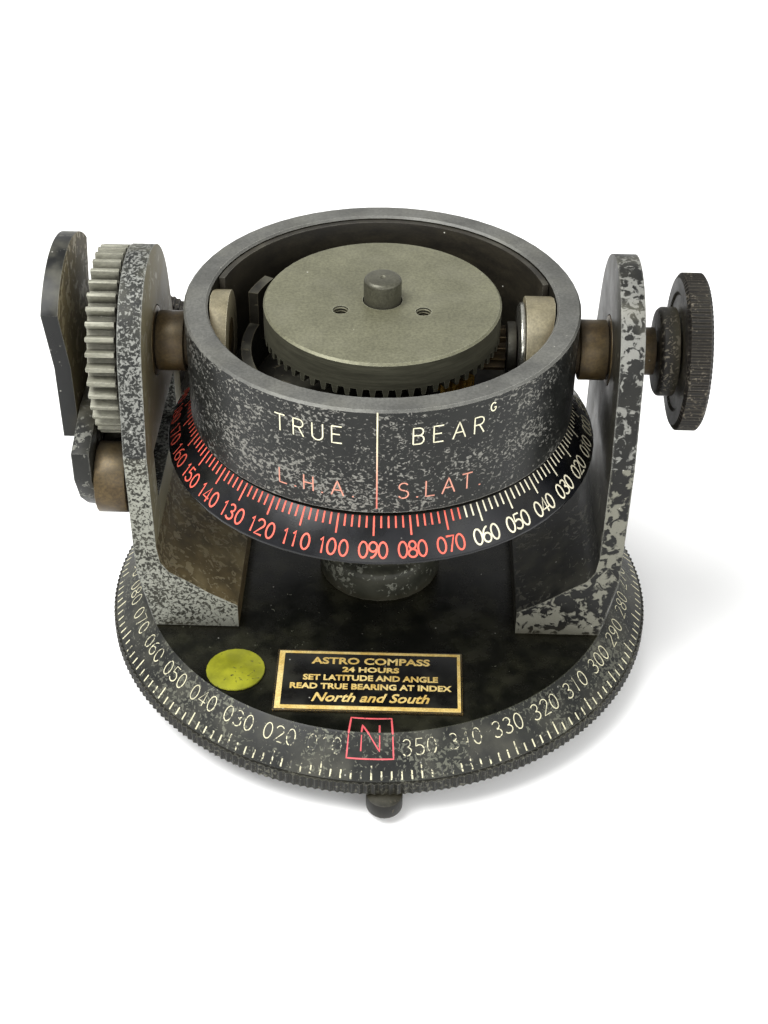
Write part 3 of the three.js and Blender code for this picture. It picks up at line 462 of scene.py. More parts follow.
# %% Name the finishes
drum_paint = painted("drum_crackle", "121312", "1c1d1b", "8a8982", size=0.8, threshold=0.565, drift=0.42,
                     drift_mm=11, softness=0.05, edge=0.45, edge_mm=0.4, gloss=0.4,
                     stretch=(1.0, 1.0, 1.3), seed=1.0, film=0.05, fewer=(-22.0, 26.0, 0.045))
drum_rim = metal("drum_rim_bare", "51514d", "666661", rough=0.5, metallic=0.35, blotch=9, tooth=0.5,
                 grime_shade_part=0.1, specks=0.8, edge=0.25, edge_tone="a8a8a0")
drum_inside = painted("drum_inside", "151410", "24221b", "5f5a49", size=2.2, threshold=0.66, drift=0.3,
                      edge=0.2, gloss=0.5, seed=4.0, grime_shade_part=0.5, grime_shade_tone="17150f")
liner_look = metal("liner_dark", "1c1913", "2d291f", rough=0.45, metallic=0.2, blotch=8, tooth=0.6,
                   stretch=(1, 1, 3), specks=0.9, edge=0.2, edge_tone="7d7b70", grime_shade_part=0.5)
left_edge = painted("upright_left_edge", "1a1b1a", "292a26", "8b8c86", size=0.7, threshold=0.53,
                    drift=0.25, drift_mm=9, softness=0.05, edge=0.62, edge_mm=0.6, gloss=0.5,
                    bare_rough=0.55, seed=2.0, bare_metal=0.25, depth=0.12)
right_edge = painted("upright_right_edge", "131312", "1d1d1a", "85857f", size=1.5, threshold=0.55,
                     drift=0.7, drift_mm=20, softness=0.04, edge=0.6, edge_mm=0.6, gloss=0.42, seed=7.0,
                     bare_metal=0.3, depth=0.14)
left_inner = painted("upright_left_inner", "5d5843", "6e6852", "8a8674", size=3.0, threshold=0.62,
                     drift=0.3, edge=0.45, gloss=0.55, seed=3.0, grime_shade_tone="4a3f28", grime_shade_part=0.45,
                     bare_metal=0.15, reach=14, film=0.1)
# the right upright's inner face is darker than the left one's: painted shade over the same paint
right_inner_shaded = painted("upright_right_inner_shaded", "20201d", "34332d", "5f5e55", size=3.0, threshold=0.64,
                      drift=0.3, edge=0.45, gloss=0.45, seed=9.0, grime_shade_tone="201d15", bare_metal=0.2,
                      reach=14, film=0.15)
outer_paint = painted("upright_outer", "141513", "1f1f1c", "72726b", size=1.3, threshold=0.62, drift=0.4,
                      edge=0.5, edge_mm=0.5, gloss=0.45, seed=11.0)
left_foot_top = painted("left_foot_top", "3a3220", "52472f", "766c52", size=1.4, threshold=0.56,
                        drift=0.3, edge=0.4, gloss=0.6, seed=5.0, grime_shade_tone="4d3f25", grime_shade_part=0.8,
                        bare_metal=0.1, reach=12, film=0.5, dust="7a6f52", depth=0.1)
left_foot_front = painted("left_foot_front", "24241f", "36352e", "94958a", size=0.7, threshold=0.48,
                          drift=0.3, drift_mm=9, softness=0.05, edge=0.6, edge_mm=0.7, gloss=0.6,
                          seed=2.0, bare_metal=0.15, depth=0.12)
right_foot_top = painted("right_foot_top", "141412", "22221e", "57564e", size=1.4, threshold=0.6,
                         drift=0.35, edge=0.4, gloss=0.5, seed=12.0, reach=10, film=0.3, dust="5e5c4f")
right_foot_front = painted("right_foot_front", "0f0f0e", "191917", "7b7a6e", size=2.0, threshold=0.52,
                           drift=0.5, drift_mm=8, softness=0.04, edge=0.6, edge_mm=0.7, gloss=0.5,
                           seed=8.0, bare_metal=0.15, depth=0.14)
table_gloss = painted("turntable_gloss", "0a0b08", "12120e", "6b6d5c", size=1.1, threshold=0.72,
                      drift=0.45, drift_mm=20, edge=0.55, edge_mm=0.9, gloss=0.24, seed=13.0, film=0.08,
                      dust="6e6d55", specks=0.35, grime_shade_part=0.2)
table_rim = painted("turntable_rim", "121312", "1c1c19", "67665b", size=0.7, threshold=0.6, drift=0.3,
                    edge=0.42, edge_mm=0.25, gloss=0.45, seed=14.0, film=0.1)
scale_band = painted("bearing_band", "171817", "262723", "65665b", size=0.8, threshold=0.6, drift=0.5,
                     drift_mm=15, edge=0.5, edge_mm=0.7, gloss=0.4, seed=15.0, film=0.22, dust="6f6d60")
ring_gloss = painted("hour_ring_gloss", "08090b", "0d0e12", "5e5c50", size=1.2, threshold=0.84, drift=0.2,
                     edge=0.12, edge_mm=0.25, gloss=0.27, seed=16.0, film=0.04, grime_shade_part=0.2,
                     specks=0.2, shine=0.3)
boss_paint = painted("bearing_boss_paint", "24251f", "383830", "8b8c80", size=1.1, threshold=0.59,
                     drift=0.45, drift_mm=10, edge=0.55, edge_mm=0.8, gloss=0.4, seed=17.0, film=0.25)
guard_paint = painted("guard_paint", "0c0d0d", "151615", "6c6c64", size=1.0, threshold=0.68, drift=0.3,
                      edge=0.35, edge_mm=0.4, gloss=0.33, seed=18.0, stretch=(1, 1, 0.4))
guard_rough = painted("guard_rough", "3d3624", "5a5139", "857b5f", size=2.2, threshold=0.55, drift=0.3,
                      edge=0.3, gloss=0.65, seed=19.0, bare_metal=0.1, depth=0.25, grime_shade_tone="453e2b",
                      reach=8)
knob_black = painted("knob_black", "0e0c0a", "171410", "6a6458", size=0.7, threshold=0.62, drift=0.3,
                     edge=0.35, edge_mm=0.25, gloss=0.5, seed=20.0, film=0.04)
base_paint = painted("base_black", "121210", "1c1b17", "4d483d", size=1.0, threshold=0.66, drift=0.3,
                     edge=0.35, gloss=0.42, seed=21.0)
disc_olive = metal("disc_olive", "64634f", "72715b", rough=0.42, metallic=0.4, blotch=9, tooth=0.5,
                   specks=0.7, edge=0.3, edge_tone="a4a391", grime_shade_tone="4c4632", grime_shade_part=0.6, film=0.12,
                   depth=0.01)
disc_side = metal("disc_side", "504f42", "605f50", rough=0.42, metallic=0.5, blotch=7, tooth=0.7,
                  stretch=(0.15, 0.15, 2.5), edge=0.25, edge_tone="8d8c7a", grime_shade_tone="191712",
                  grime_shade_part=0.6, reach=3)
pin_dark = metal("pin_dark", "444338", "545346", rough=0.4, metallic=0.5, blotch=5, tooth=0.5, edge=0.3,
                 edge_tone="8d8c7a", grime_shade_tone="24221a", grime_shade_part=0.8)
bronze = metal("bronze_brown", "3a2d17", "524326", rough=0.42, metallic=0.5, blotch=4, tooth=0.5,
               grime_shade_tone="241c10", specks=0.2, edge=0.2, edge_tone="8c7a50")
brass = metal("brass_yellow", "c79a42", "e6bd63", rough=0.25, metallic=0.9, blotch=3, tooth=0.3,
              grime_shade_tone="2c220f")
# the near-black tone with a short reach paints shade into the gaps between the wheel's teeth
wheel_alloy = metal("wheel_pale", "6d6c5e", "838274", rough=0.5, metallic=0.3, blotch=3, tooth=0.35,
                    grime_shade_tone="24221b", grime_shade_part=0.95, reach=1.6, edge=0.2, edge_tone="c2c1b2",
                    stretch=(0.4, 1, 1))
tan_alloy = metal("tan_alloy", "665f49", "7d755c", rough=0.55, metallic=0.2, blotch=3, tooth=0.4,
                  grime_shade_tone="57482c", grime_shade_part=0.6, edge=0.2, edge_tone="c3bda6", stretch=(1, 1, 0.5))
bright_steel = metal("bright_steel", "a5a49a", "c9c8bd", rough=0.2, metallic=0.95, blotch=3, tooth=0.4,
                     grime_shade_tone="1d1b16", grime_shade_part=0.6)
dark_steel = metal("dark_steel", "35342f", "4b4a43", rough=0.4, metallic=0.7, blotch=5, tooth=0.4)
grey_steel = metal("grey_steel", "6c6b64", "82817a", rough=0.42, metallic=0.7, blotch=5, tooth=0.4)
cream_fill = filled("cream_fill", "e6e0c4", "3a3930", keep=0.78, seed=3.0)
salmon_fill = filled("salmon_fill", "ea6350", "5a2a22", keep=0.82, seed=4.0)
bearing_fill = filled("bearing_fill", "cfcaa9", "31312c", keep=0.64, size=0.9, seed=5.0,
                      rubbed=(-52.0, -40.0, 0.16))
north_fill = filled("north_fill", "cf5358", "4a2a28", keep=0.62, size=0.8, seed=6.0)
index_fill = filled("index_fill", "ece4c0", "6f4a3a", keep=0.9, seed=7.0, low=("cc6a5a", 59.0, 75.0))
legend_cream = filled("legend_cream", "e4dfc0", "4a4940", keep=0.76, size=0.9, seed=8.0)
legend_red = filled("legend_red", "cf8d78", "3d322c", keep=0.64, size=0.9, seed=9.0)
plate_gold = metal("plate_gold", "d8b45e", "f2da92", rough=0.35, metallic=0.25, blotch=4, tooth=0.3,
                   grime_shade_part=0.2)
plate_black = painted("plate_black", "0c0c0b", "121211", "b08f48", size=0.9, threshold=0.86, drift=0.2,
                      edge=0.1, gloss=0.3, seed=22.0, film=0.05, grime_shade_part=0.1)
sticker_look = painted("sticker_yellow", "66680f", "8a8b1b", "4a4a1c", size=0.9, threshold=0.66,
                       drift=0.4, edge=0.15, gloss=0.6, seed=23.0, film=0.2, dust="8a8a40",
                       bare_metal=0.0, grime_shade_tone="4d4d18")
print(len(bpy.data.materials), "materials")

# %% [markdown]
# ## Finishing the CAD parts
# The CAD parts have the right shape, but sharp edges and flat facets. Each visible part gets a
# finished twin: a copy whose loose triangles are merged and whose flat faces are cleaned, with
# small bevels that catch the light. The twin stands for its node.


# %% Finished twins
def twin(node, look, bevel=0.0, angle=40, segments=2, smooth=32):
    only(NODES[node])
    bpy.ops.object.duplicate()
    piece = bpy.context.active_object
    piece.name = node + "_finish"
    piece.data.name = piece.name
    bpy.ops.mesh.customdata_custom_splitnormals_clear()
    bpy.ops.object.mode_set(mode="EDIT")
    bpy.ops.mesh.select_all(action="SELECT")
    bpy.ops.mesh.remove_doubles(threshold=0.002 * MM)
    bpy.ops.mesh.dissolve_limited(angle_limit=math.radians(0.4))
    bpy.ops.object.mode_set(mode="OBJECT")
    piece.data.materials.clear()
    piece.data.materials.append(look)
    if bevel:
        bevelled(piece, bevel, angle, segments)
    smoothed(piece, smooth)
    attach(piece, BODY_OF[node])
    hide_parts(node)
    return piece


TRUNNION_R = 5.7
AXIS_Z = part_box("trunnion_left")[0].z / MM + TRUNNION_R
DRUM_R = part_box("drum_housing")[1].x / MM
DRUM_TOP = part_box("drum_housing")[1].z / MM
drum = twin("drum_housing", drum_paint)
RIM_DEPTH = 0.5  # the turned rim and its two chamfers are this deep
coat(drum, drum_rim, lambda c, n: c.z > DRUM_TOP - RIM_DEPTH)
coat(drum, drum_inside, lambda c, n: c.z < DRUM_TOP - RIM_DEPTH and math.hypot(c.x, c.y) < DRUM_R - 2)
print("drum", round(DRUM_R, 1), "mm radius, axis at", round(AXIS_Z, 1))

# %% The uprights
UPRIGHT_T = 4.4
FOOT_RISE = 20.6  # the foot's fillet runs into the leg this high up
UPRIGHT_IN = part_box("upright_right")[1].x / MM - UPRIGHT_T
FOOT_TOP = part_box("upright_right")[0].z / MM + FOOT_RISE


def on_foot_top(c, n, sign):
    inward = c.x * sign < UPRIGHT_IN + 0.2
    return c.z < FOOT_TOP and inward and (n.z > 0.15 or n.x * sign < -0.5)


def on_foot_front(c, n, sign):
    return c.z < FOOT_TOP and c.x * sign < UPRIGHT_IN - 0.4 and abs(n.y) > 0.7


for side, edge_look, inner_look, top_look, front_look in (
    ("left", left_edge, left_inner, left_foot_top, left_foot_front),
    ("right", right_edge, right_inner_shaded, right_foot_top, right_foot_front),
):
    sign = -1 if side == "left" else 1
    upright = twin("upright_" + side, edge_look, bevel=0.45, segments=3)
    coat(upright, inner_look, lambda c, n: n.x * sign < -0.9 and c.z > FOOT_TOP - 2)
    coat(upright, outer_paint, lambda c, n: n.x * sign > 0.9)
    coat(upright, top_look, lambda c, n: on_foot_top(c, n, sign))
    coat(upright, front_look, lambda c, n: on_foot_front(c, n, sign))

# %% The other castings and turned parts
twin("base_plate", base_paint, bevel=0.4)
twin("bearing_boss", boss_paint, bevel=0.3)
twin("worm_bracket", outer_paint, bevel=0.35)
guard = twin("gear_guard", guard_paint, bevel=0.8, segments=4)
coat(guard, guard_rough, lambda c, n: n.x > 0.8)
twin("hour_scale_ring", ring_gloss, bevel=0.15)
twin("drum_liner", liner_look, bevel=0.2)
crown = twin("crown_gear", disc_side)
coat(crown, disc_olive, lambda c, n: n.z > 0.6 and c.z > DRUM_TOP - 1)
twin("hub_pin", pin_dark, bevel=0.2)
for node, look, slot, bevel in (
    ("inner_boss_left", tan_alloy, "tan_alloy", 0.3),
    ("inner_boss_right", tan_alloy, "tan_alloy", 0.3),
    ("trunnion_left", bronze, "bronze", 0.25),
    ("trunnion_right", bronze, "bronze", 0.25),
    ("bush_left", bronze, "bronze", 0.15),
    ("bush_right", bronze, "bronze", 0.15),
    ("pivot_cylinder", bronze, "bronze", 0.5),
    ("worm_wheel", wheel_alloy, "pale_alloy", 0.22),
    ("idler_gear", brass, "brass", 0.0),
    ("idler_stud", grey_steel, "bare_steel", 0.0),
    ("polar_spur", brass, "brass", 0.0),
    ("polar_shaft", dark_steel, "bare_steel", 0.0),
    ("retaining_nut", dark_steel, "bare_steel", 0.3),
    ("drive_pinion", bronze, "bronze", 0.12),
    ("drive_shaft", grey_steel, "bare_steel", 0.2),
    ("drive_collar", dark_steel, "bare_steel", 0.2),
    ("spring_washer", bright_steel, "bright_steel", 0.15),
    ("latitude_worm", dark_steel, "bare_steel", 0.0),
    ("worm_shaft", grey_steel, "bare_steel", 0.2),
    ("base_spindle", grey_steel, "bare_steel", 0.2),
    ("spindle_nut", grey_steel, "bare_steel", 0.25),
    ("guard_screw_1", grey_steel, "bare_steel", 0.1),
    ("guard_screw_2", grey_steel, "bare_steel", 0.1),
    ("hour_knob_hub", knob_black, "gloss_black", 0.3),
    ("latitude_knob_hub", knob_black, "gloss_black", 0.3),
):
    twin(node, look, bevel)
twin("nameplate", plate_black, bevel=0.1)
twin("dot_sticker", sticker_look, bevel=0.1)

# %% [markdown]
# ## The turntable casting
# A turned casting is its outline spun about its axis. One vertex is extruded from point to point
# along the outline, the spin sweeps it round, and merging the doubles closes it. The knurled rim
# has far finer teeth than the CAD part carries: a cylinder with two vertices to each tooth, whose
# every second side edge is drawn in.


# %% Spin an outline
def spun(name, outline, steps=180):
    """A closed outline of (radius, height) points in mm, turned about Z."""
    bpy.ops.object.select_all(action="DESELECT")
    bpy.ops.mesh.primitive_plane_add(size=MM)
    piece = bpy.context.active_object
    piece.name = piece.data.name = name
    bpy.ops.object.mode_set(mode="EDIT")
    bpy.ops.mesh.select_mode(type="VERT")
    bpy.ops.mesh.select_all(action="SELECT")
    bpy.ops.mesh.merge(type="CENTER")
    at = Vector((0, 0, 0))
    for number, (radius, height) in enumerate(outline + outline[:1]):
        move = Vector((radius, 0, height)) * MM - at
        if number == 0:
            bpy.ops.transform.translate(value=move)
        else:
            bpy.ops.mesh.extrude_region_move(TRANSFORM_OT_translate={"value": move})
        at = at + move
    bpy.ops.mesh.select_all(action="SELECT")
    bpy.ops.mesh.spin(steps=steps, angle=math.tau, center=(0, 0, 0), axis=(0, 0, 1))
    bpy.ops.mesh.select_all(action="SELECT")
    bpy.ops.mesh.remove_doubles(threshold=0.005 * MM)
    bpy.ops.mesh.normals_make_consistent(inside=False)
    bpy.ops.object.mode_set(mode="OBJECT")
    return piece


def serrated_disc(name, teeth, radius, tooth, low, high, chamfer):
    """A disc with fine straight knurling, its top and bottom edges chamfered."""
    middle = (high + low) / 2
    bpy.ops.object.select_all(action="DESELECT")
    bpy.ops.mesh.primitive_cylinder_add(
        vertices=2 * teeth, radius=radius * MM, depth=(high - low) * MM, location=(0, 0, middle * MM)
    )
    piece = bpy.context.active_object
    piece.name = piece.data.name = name
    bpy.ops.object.transform_apply(location=True)
    bpy.ops.object.mode_set(mode="EDIT")
    bpy.ops.mesh.select_mode(type="VERT")
    bpy.ops.mesh.select_all(action="DESELECT")
    bpy.ops.object.mode_set(mode="OBJECT")
    for vertex in piece.data.vertices:
        step = math.atan2(vertex.co.y, vertex.co.x) / math.tau * 2 * teeth
        vertex.select = round(step) % 2 == 1
    bpy.ops.object.mode_set(mode="EDIT")
    shrink = 1 - tooth / radius
    bpy.ops.transform.resize(value=(shrink, shrink, 1), center_override=(0, 0, 0))
    bpy.ops.object.mode_set(mode="OBJECT")
    if chamfer:
        pick_faces(piece, lambda c, n: abs(n.z) > 0.9)
        bpy.ops.mesh.inset(thickness=chamfer * MM, depth=0)
        bpy.ops.object.mode_set(mode="OBJECT")
        for vertex in piece.data.vertices:
            if math.hypot(vertex.co.x, vertex.co.y) > (radius - tooth - chamfer * 0.6) * MM:
                vertex.co.z += (chamfer if vertex.co.z < middle * MM else -chamfer) * MM * 0.8
    return piece


table_low, table_high = (corner.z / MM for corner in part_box("turntable_plate"))
RIM_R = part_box("turntable_plate")[1].x / MM
BAND_OUT_R, BAND_IN_R, BAND_LOW = RIM_R - 0.6, RIM_R - 7.1, table_low + 3.2
SPINDLE_HOLE_R, HUB_R = 6.2, 15
WEB_OUT_R, SKIRT_IN_R = 44.5, 51.2  # underneath, the web thickens outwards into the skirt
web_low = table_high - 3.6
table = spun(
    "turntable_casting",
    [
        (SPINDLE_HOLE_R, table_low), (HUB_R, table_low), (HUB_R, web_low), (WEB_OUT_R, web_low),
        (SKIRT_IN_R, table_low + 1.5), (SKIRT_IN_R, table_low), (RIM_R - 0.5, table_low),
        (RIM_R - 0.5, BAND_LOW - 0.35), (BAND_OUT_R, BAND_LOW), (BAND_IN_R + 0.3, table_high - 0.22),
        (BAND_IN_R - 0.1, table_high), (SPINDLE_HOLE_R, table_high),
    ],
)
table.data.materials.append(table_gloss)
coat(table, scale_band, lambda c, n: 0.3 < n.z < 0.97 and math.hypot(c.x, c.y) > BAND_IN_R - 1)
coat(table, table_rim, lambda c, n: abs(n.z) < 0.3 and math.hypot(c.x, c.y) > RIM_R - 2)
smoothed(table, 25)
RIM_TEETH, RIM_TOOTH, KNURL_WIDTH = 250, 0.4, 1.2
knurl = serrated_disc("turntable_knurl", RIM_TEETH, RIM_R, RIM_TOOTH, table_low + 0.25, table_low + 2.9, 0)
pick_faces(knurl, lambda c, n: abs(n.z) > 0.9)
bpy.ops.mesh.inset(thickness=KNURL_WIDTH * MM, depth=0)
bpy.ops.mesh.delete(type="FACE")
bpy.ops.object.mode_set(mode="OBJECT")
only(knurl)
bpy.ops.object.mode_set(mode="EDIT")
bpy.ops.mesh.select_all(action="DESELECT")
bpy.ops.mesh.select_mode(type="EDGE")
bpy.ops.mesh.select_non_manifold()
bpy.ops.mesh.bridge_edge_loops()
bpy.ops.mesh.select_all(action="SELECT")
bpy.ops.mesh.normals_make_consistent(inside=False)
bpy.ops.object.mode_set(mode="OBJECT")
knurl.data.materials.append(table_rim)
for piece in (table, knurl):
    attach(piece, "turntable")
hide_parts("turntable_plate")
print("rim radius", round(RIM_R, 1), "mm,", len(knurl.data.vertices), "knurl vertices")

# %% [markdown]
# ## The knobs
# Both knobs are discs of the same size with a fine straight knurl. The disc is made upright and
# then turned to lie along its shaft, so that its place ends up in its mesh.


# %% Knobs
KNOB_R = (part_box("hour_knob")[1].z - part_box("hour_knob")[0].z) / 2 / MM
KNOB_TEETH, KNOB_TOOTH, KNOB_CHAMFER = 84, 0.32, 0.7


def knob(node, axis):
    """The knob of a node, turned about an axis to lie along its shaft."""
    low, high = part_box(node)
    middle = (low + high) / 2
    half = (high - low)[0 if axis == "Y" else 1] / MM / 2
    piece = serrated_disc(node + "_finish", KNOB_TEETH, KNOB_R, KNOB_TOOTH, -half, half, KNOB_CHAMFER)
    pick_faces(piece, lambda c, n: abs(n.z) > 0.9 and math.hypot(c.x, c.y) < 2)
    bpy.ops.mesh.inset(thickness=2.2 * MM, depth=0)
    bpy.ops.mesh.inset(thickness=0.5 * MM, depth=-0.35 * MM)
    bpy.ops.object.mode_set(mode="OBJECT")
    piece.data.transform(Matrix.Rotation(math.radians(90), 4, axis))
    piece.data.transform(Matrix.Translation(middle))
    piece.data.materials.append(knob_black)
    smoothed(piece, 20)
    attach(piece, BODY_OF[node])
    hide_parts(node)
    return piece


knob("hour_knob", "Y")
knob("latitude_knob", "X")
print("knob radius", round(KNOB_R, 1), "mm")

# %% [markdown]
# ## Engraved figures
# The figures were cut with a single point cutter, so every stroke has the same width and round
# turns. Each character is a few strokes on a unit height. The strokes become a flat curve with a
# thin round section, the curve becomes a mesh, and the mesh is wrapped on its surface: a wall, a
# cone or a flat.


# %% Single line characters
def bow(cx, cy, rx, ry, start, end, steps=9):
    angles = [math.radians(start + (end - start) * i / steps) for i in range(steps + 1)]
    return [(cx + rx * math.cos(a), cy + ry * math.sin(a)) for a in angles]


STROKES = {
    "0": (0.54, [bow(0.27, 0.5, 0.27, 0.5, 90, 450, 18)]),
    "1": (0.24, [[(0.0, 0.8), (0.15, 1.0), (0.15, 0.0)]]),
    "2": (0.54, [bow(0.27, 0.73, 0.26, 0.27, 165, -35, 9) + [(0.0, 0.0), (0.54, 0.0)]]),
    "3": (0.54, [bow(0.25, 0.76, 0.24, 0.24, 150, -90, 8), bow(0.25, 0.26, 0.28, 0.26, 90, -150, 8)]),
    "4": (0.58, [[(0.42, 0.0), (0.42, 1.0), (0.0, 0.28), (0.58, 0.28)]]),
    "5": (0.54, [[(0.48, 1.0), (0.09, 1.0), (0.04, 0.56)] + bow(0.25, 0.31, 0.29, 0.31, 125, -150, 10)]),
    "6": (0.54, [bow(0.27, 0.3, 0.26, 0.3, 0, 360, 14), bow(0.46, 0.36, 0.45, 0.64, 180, 95, 6)]),
    "7": (0.52, [[(0.0, 1.0), (0.52, 1.0), (0.18, 0.0)]]),
    "8": (0.54, [bow(0.27, 0.76, 0.22, 0.24, -90, 270, 14), bow(0.27, 0.25, 0.27, 0.25, 90, 450, 14)]),
    "9": (0.54, [bow(0.27, 0.7, 0.26, 0.3, 180, 540, 14), bow(0.08, 0.64, 0.45, 0.64, 0, -85, 6)]),
    "A": (0.7, [[(0.0, 0.0), (0.35, 1.0), (0.7, 0.0)], [(0.13, 0.36), (0.57, 0.36)]]),
    "B": (0.56, [[(0.0, 0.0), (0.0, 1.0), (0.32, 1.0)]
                 + bow(0.32, 0.77, 0.2, 0.23, 90, -90, 6) + [(0.0, 0.54)],
                 [(0.3, 0.54)] + bow(0.32, 0.27, 0.24, 0.27, 90, -90, 6) + [(0.0, 0.0)]]),
    "E": (0.52, [[(0.52, 1.0), (0.0, 1.0), (0.0, 0.0), (0.52, 0.0)], [(0.0, 0.52), (0.42, 0.52)]]),
    "G": (0.62, [bow(0.32, 0.5, 0.32, 0.5, 45, 330, 12) + [(0.62, 0.42), (0.38, 0.42)]]),
    "H": (0.56, [[(0.0, 0.0), (0.0, 1.0)], [(0.56, 0.0), (0.56, 1.0)], [(0.0, 0.5), (0.56, 0.5)]]),
    "L": (0.48, [[(0.0, 1.0), (0.0, 0.0), (0.48, 0.0)]]),
    "N": (0.62, [[(0.0, 0.0), (0.0, 1.0), (0.62, 0.0), (0.62, 1.0)]]),
    "R": (0.56, [[(0.0, 0.0), (0.0, 1.0), (0.32, 1.0)]
                 + bow(0.32, 0.76, 0.22, 0.24, 90, -90, 6) + [(0.0, 0.52)],
                 [(0.28, 0.52), (0.56, 0.0)]]),
    "S": (0.54, [bow(0.28, 0.76, 0.24, 0.24, 30, 250, 8) + bow(0.27, 0.26, 0.27, 0.26, 85, -155, 8)]),
    "T": (0.6, [[(0.0, 1.0), (0.6, 1.0)], [(0.3, 1.0), (0.3, 0.0)]]),
    "U": (0.56, [[(0.0, 1.0), (0.0, 0.3)] + bow(0.28, 0.28, 0.28, 0.28, 180, 360, 8) + [(0.56, 1.0)]]),
    ".": (0.1, [[(0.0, 0.02), (0.1, 0.02)]]),
}


def line_of(text, height, across, v, centred_on):
    """Strokes of a line of characters, spread evenly over a width, in mm on the (u, v) plane."""
    widths = [STROKES[c][0] * height for c in text]
    space = (across - sum(widths)) / max(1, len(text) - 1)
    u = centred_on - across / 2
    strokes = []
    for character, width in zip(text, widths):
        for stroke in STROKES[character][1]:
            strokes.append([(u + x * height, v + y * height) for x, y in stroke])
        u += width + space
    return strokes


# %% Curves wrapped on a surface
def marks(name, strokes, width, surface, look, body, raised=0.05):
    """Strokes as one mesh. surface gives the point and the outward normal for a (u, v) in mm."""
    data = bpy.data.curves.new(name, "CURVE")
    data.dimensions = "3D"
    data.bevel_depth = width / 2
    data.bevel_resolution = 1
    data.use_fill_caps = True
    for stroke in strokes:
        closed = len(stroke) > 3 and math.dist(stroke[0], stroke[-1]) < 0.01
        points = stroke[:-1] if closed else stroke
        spline = data.splines.new("POLY")
        spline.points.add(len(points) - 1)
        for point, (u, v) in zip(spline.points, points):
            point.co = (u, v, 0, 1)
        spline.use_cyclic_u = closed
    piece = bpy.data.objects.new(name, data)
    bpy.context.scene.collection.objects.link(piece)
    only(piece)
    bpy.ops.object.convert(target="MESH")
    piece = bpy.context.active_object
    bpy.ops.object.mode_set(mode="EDIT")
    bpy.ops.mesh.select_all(action="SELECT")
    bpy.ops.mesh.remove_doubles(threshold=0.002)
    bpy.ops.object.mode_set(mode="OBJECT")
    for vertex in piece.data.vertices:
        point, normal = surface(vertex.co.x, vertex.co.y)
        vertex.co = (point + normal * (vertex.co.z * 2 / width * raised)) * MM
    piece.data.materials.append(look)
    bpy.ops.object.mode_set(mode="EDIT")
    bpy.ops.mesh.select_all(action="SELECT")
    bpy.ops.mesh.normals_make_consistent(inside=False)
    bpy.ops.object.mode_set(mode="OBJECT")
    smoothed(piece, 50)
    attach(piece, body)
    return piece


def wall(radius):
    """u runs round a vertical wall, from -90 degrees, and v is the height."""
    def surface(u, v):
        angle = u / radius - math.pi / 2
        normal = Vector((math.cos(angle), math.sin(angle), 0))
        return normal * radius + Vector((0, 0, v)), normal
    return surface


def cone(low_r, low_z, high_r, high_z, true_r):
    """u runs round a cone at true_r, from -90 degrees, and v up its slope from its lower edge."""
    slope = math.hypot(high_r - low_r, high_z - low_z)
    def surface(u, v):
        angle = u / true_r - math.pi / 2
        out = Vector((math.cos(angle), math.sin(angle), 0))
        part = v / slope
        point = out * (low_r + (high_r - low_r) * part) + Vector((0, 0, low_z + (high_z - low_z) * part))
        normal = out * (high_z - low_z) / slope + Vector((0, 0, (low_r - high_r) / slope))
        return point, normal
    return surface


print(len(STROKES), "characters")

# %% [markdown]
# ## The hour angle scale
# The ring carries a number every ten degrees and a tick every two, counted clockwise. The
# figures from 070 to 250 are filled with red and the others with cream, so that a reader sees at
# once which half of the day is under the index.

# %% Hour scale
RING_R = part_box("hour_scale_ring")[1].x / MM
RING_EDGE_Z = DRUM_TOP - 28.8
RING_WIDTH, RING_RISE = 5.6, 6.2
READING_R = RING_R - 1.4  # the figures are evenly spaced at this radius
hour_cone = cone(RING_R, RING_EDGE_Z, RING_R - RING_WIDTH, RING_EDGE_Z + RING_RISE, READING_R)
TICK_TOP = math.hypot(RING_WIDTH, RING_RISE) - 0.15  # just under the drum's lower edge
RING_READS = 0.5  # degrees past 090 under the index line, as the ring stands
HOUR_FIGURE = (2.8, 5.0, 0.8)  # height, width of three figures, and distance from the edge
hour_marks = {"red": [], "cream": []}
for degree in range(0, 360, 2):
    u = math.radians((-degree + 90 - RING_READS + 180) % 360 - 180) * READING_R
    colour = "red" if 65 < degree < 255 else "cream"
    length = 3.5 if degree % 10 == 0 else 2.1
    hour_marks[colour].append([(u, TICK_TOP), (u, TICK_TOP - length)])
    if degree % 10 == 0:
        hour_marks[colour] += line_of("%03d" % degree, *HOUR_FIGURE, u)
hour_look = {"red": salmon_fill, "cream": cream_fill}
for colour, strokes in hour_marks.items():
    marks("hour_scale_" + colour, strokes, 0.34, hour_cone, hour_look[colour], "hour_rotor")

# %% [markdown]
# ## The bearing scale
# The turntable's bevel has the same pattern, cut larger. Its fill has mostly worn out at the
# front. A boxed N stands in for zero, and runs over the corner on to the flat.

# %% Bearing scale
BAND_MIDDLE_R = BAND_OUT_R - 4.4
bearing_cone = cone(BAND_OUT_R, BAND_LOW, BAND_IN_R, table_high, BAND_MIDDLE_R)
band_length = math.hypot(BAND_OUT_R - BAND_IN_R, table_high - BAND_LOW)
BEARING_FIGURE = (3.0, 6.3, 4.6)  # height, width of three figures, and distance from the edge
bearing_strokes = []
for degree in range(0, 360, 2):
    u = math.radians((-degree + 180) % 360 - 180) * BAND_MIDDLE_R
    length = 2.6 if degree % 10 == 0 else 1.6
    bearing_strokes.append([(u, 0.3), (u, 0.3 + length)])
    if degree % 10 == 0 and degree:
        bearing_strokes += line_of("%03d" % degree, *BEARING_FIGURE, u)
marks("bearing_scale", bearing_strokes, 0.3, bearing_cone, bearing_fill, "turntable")


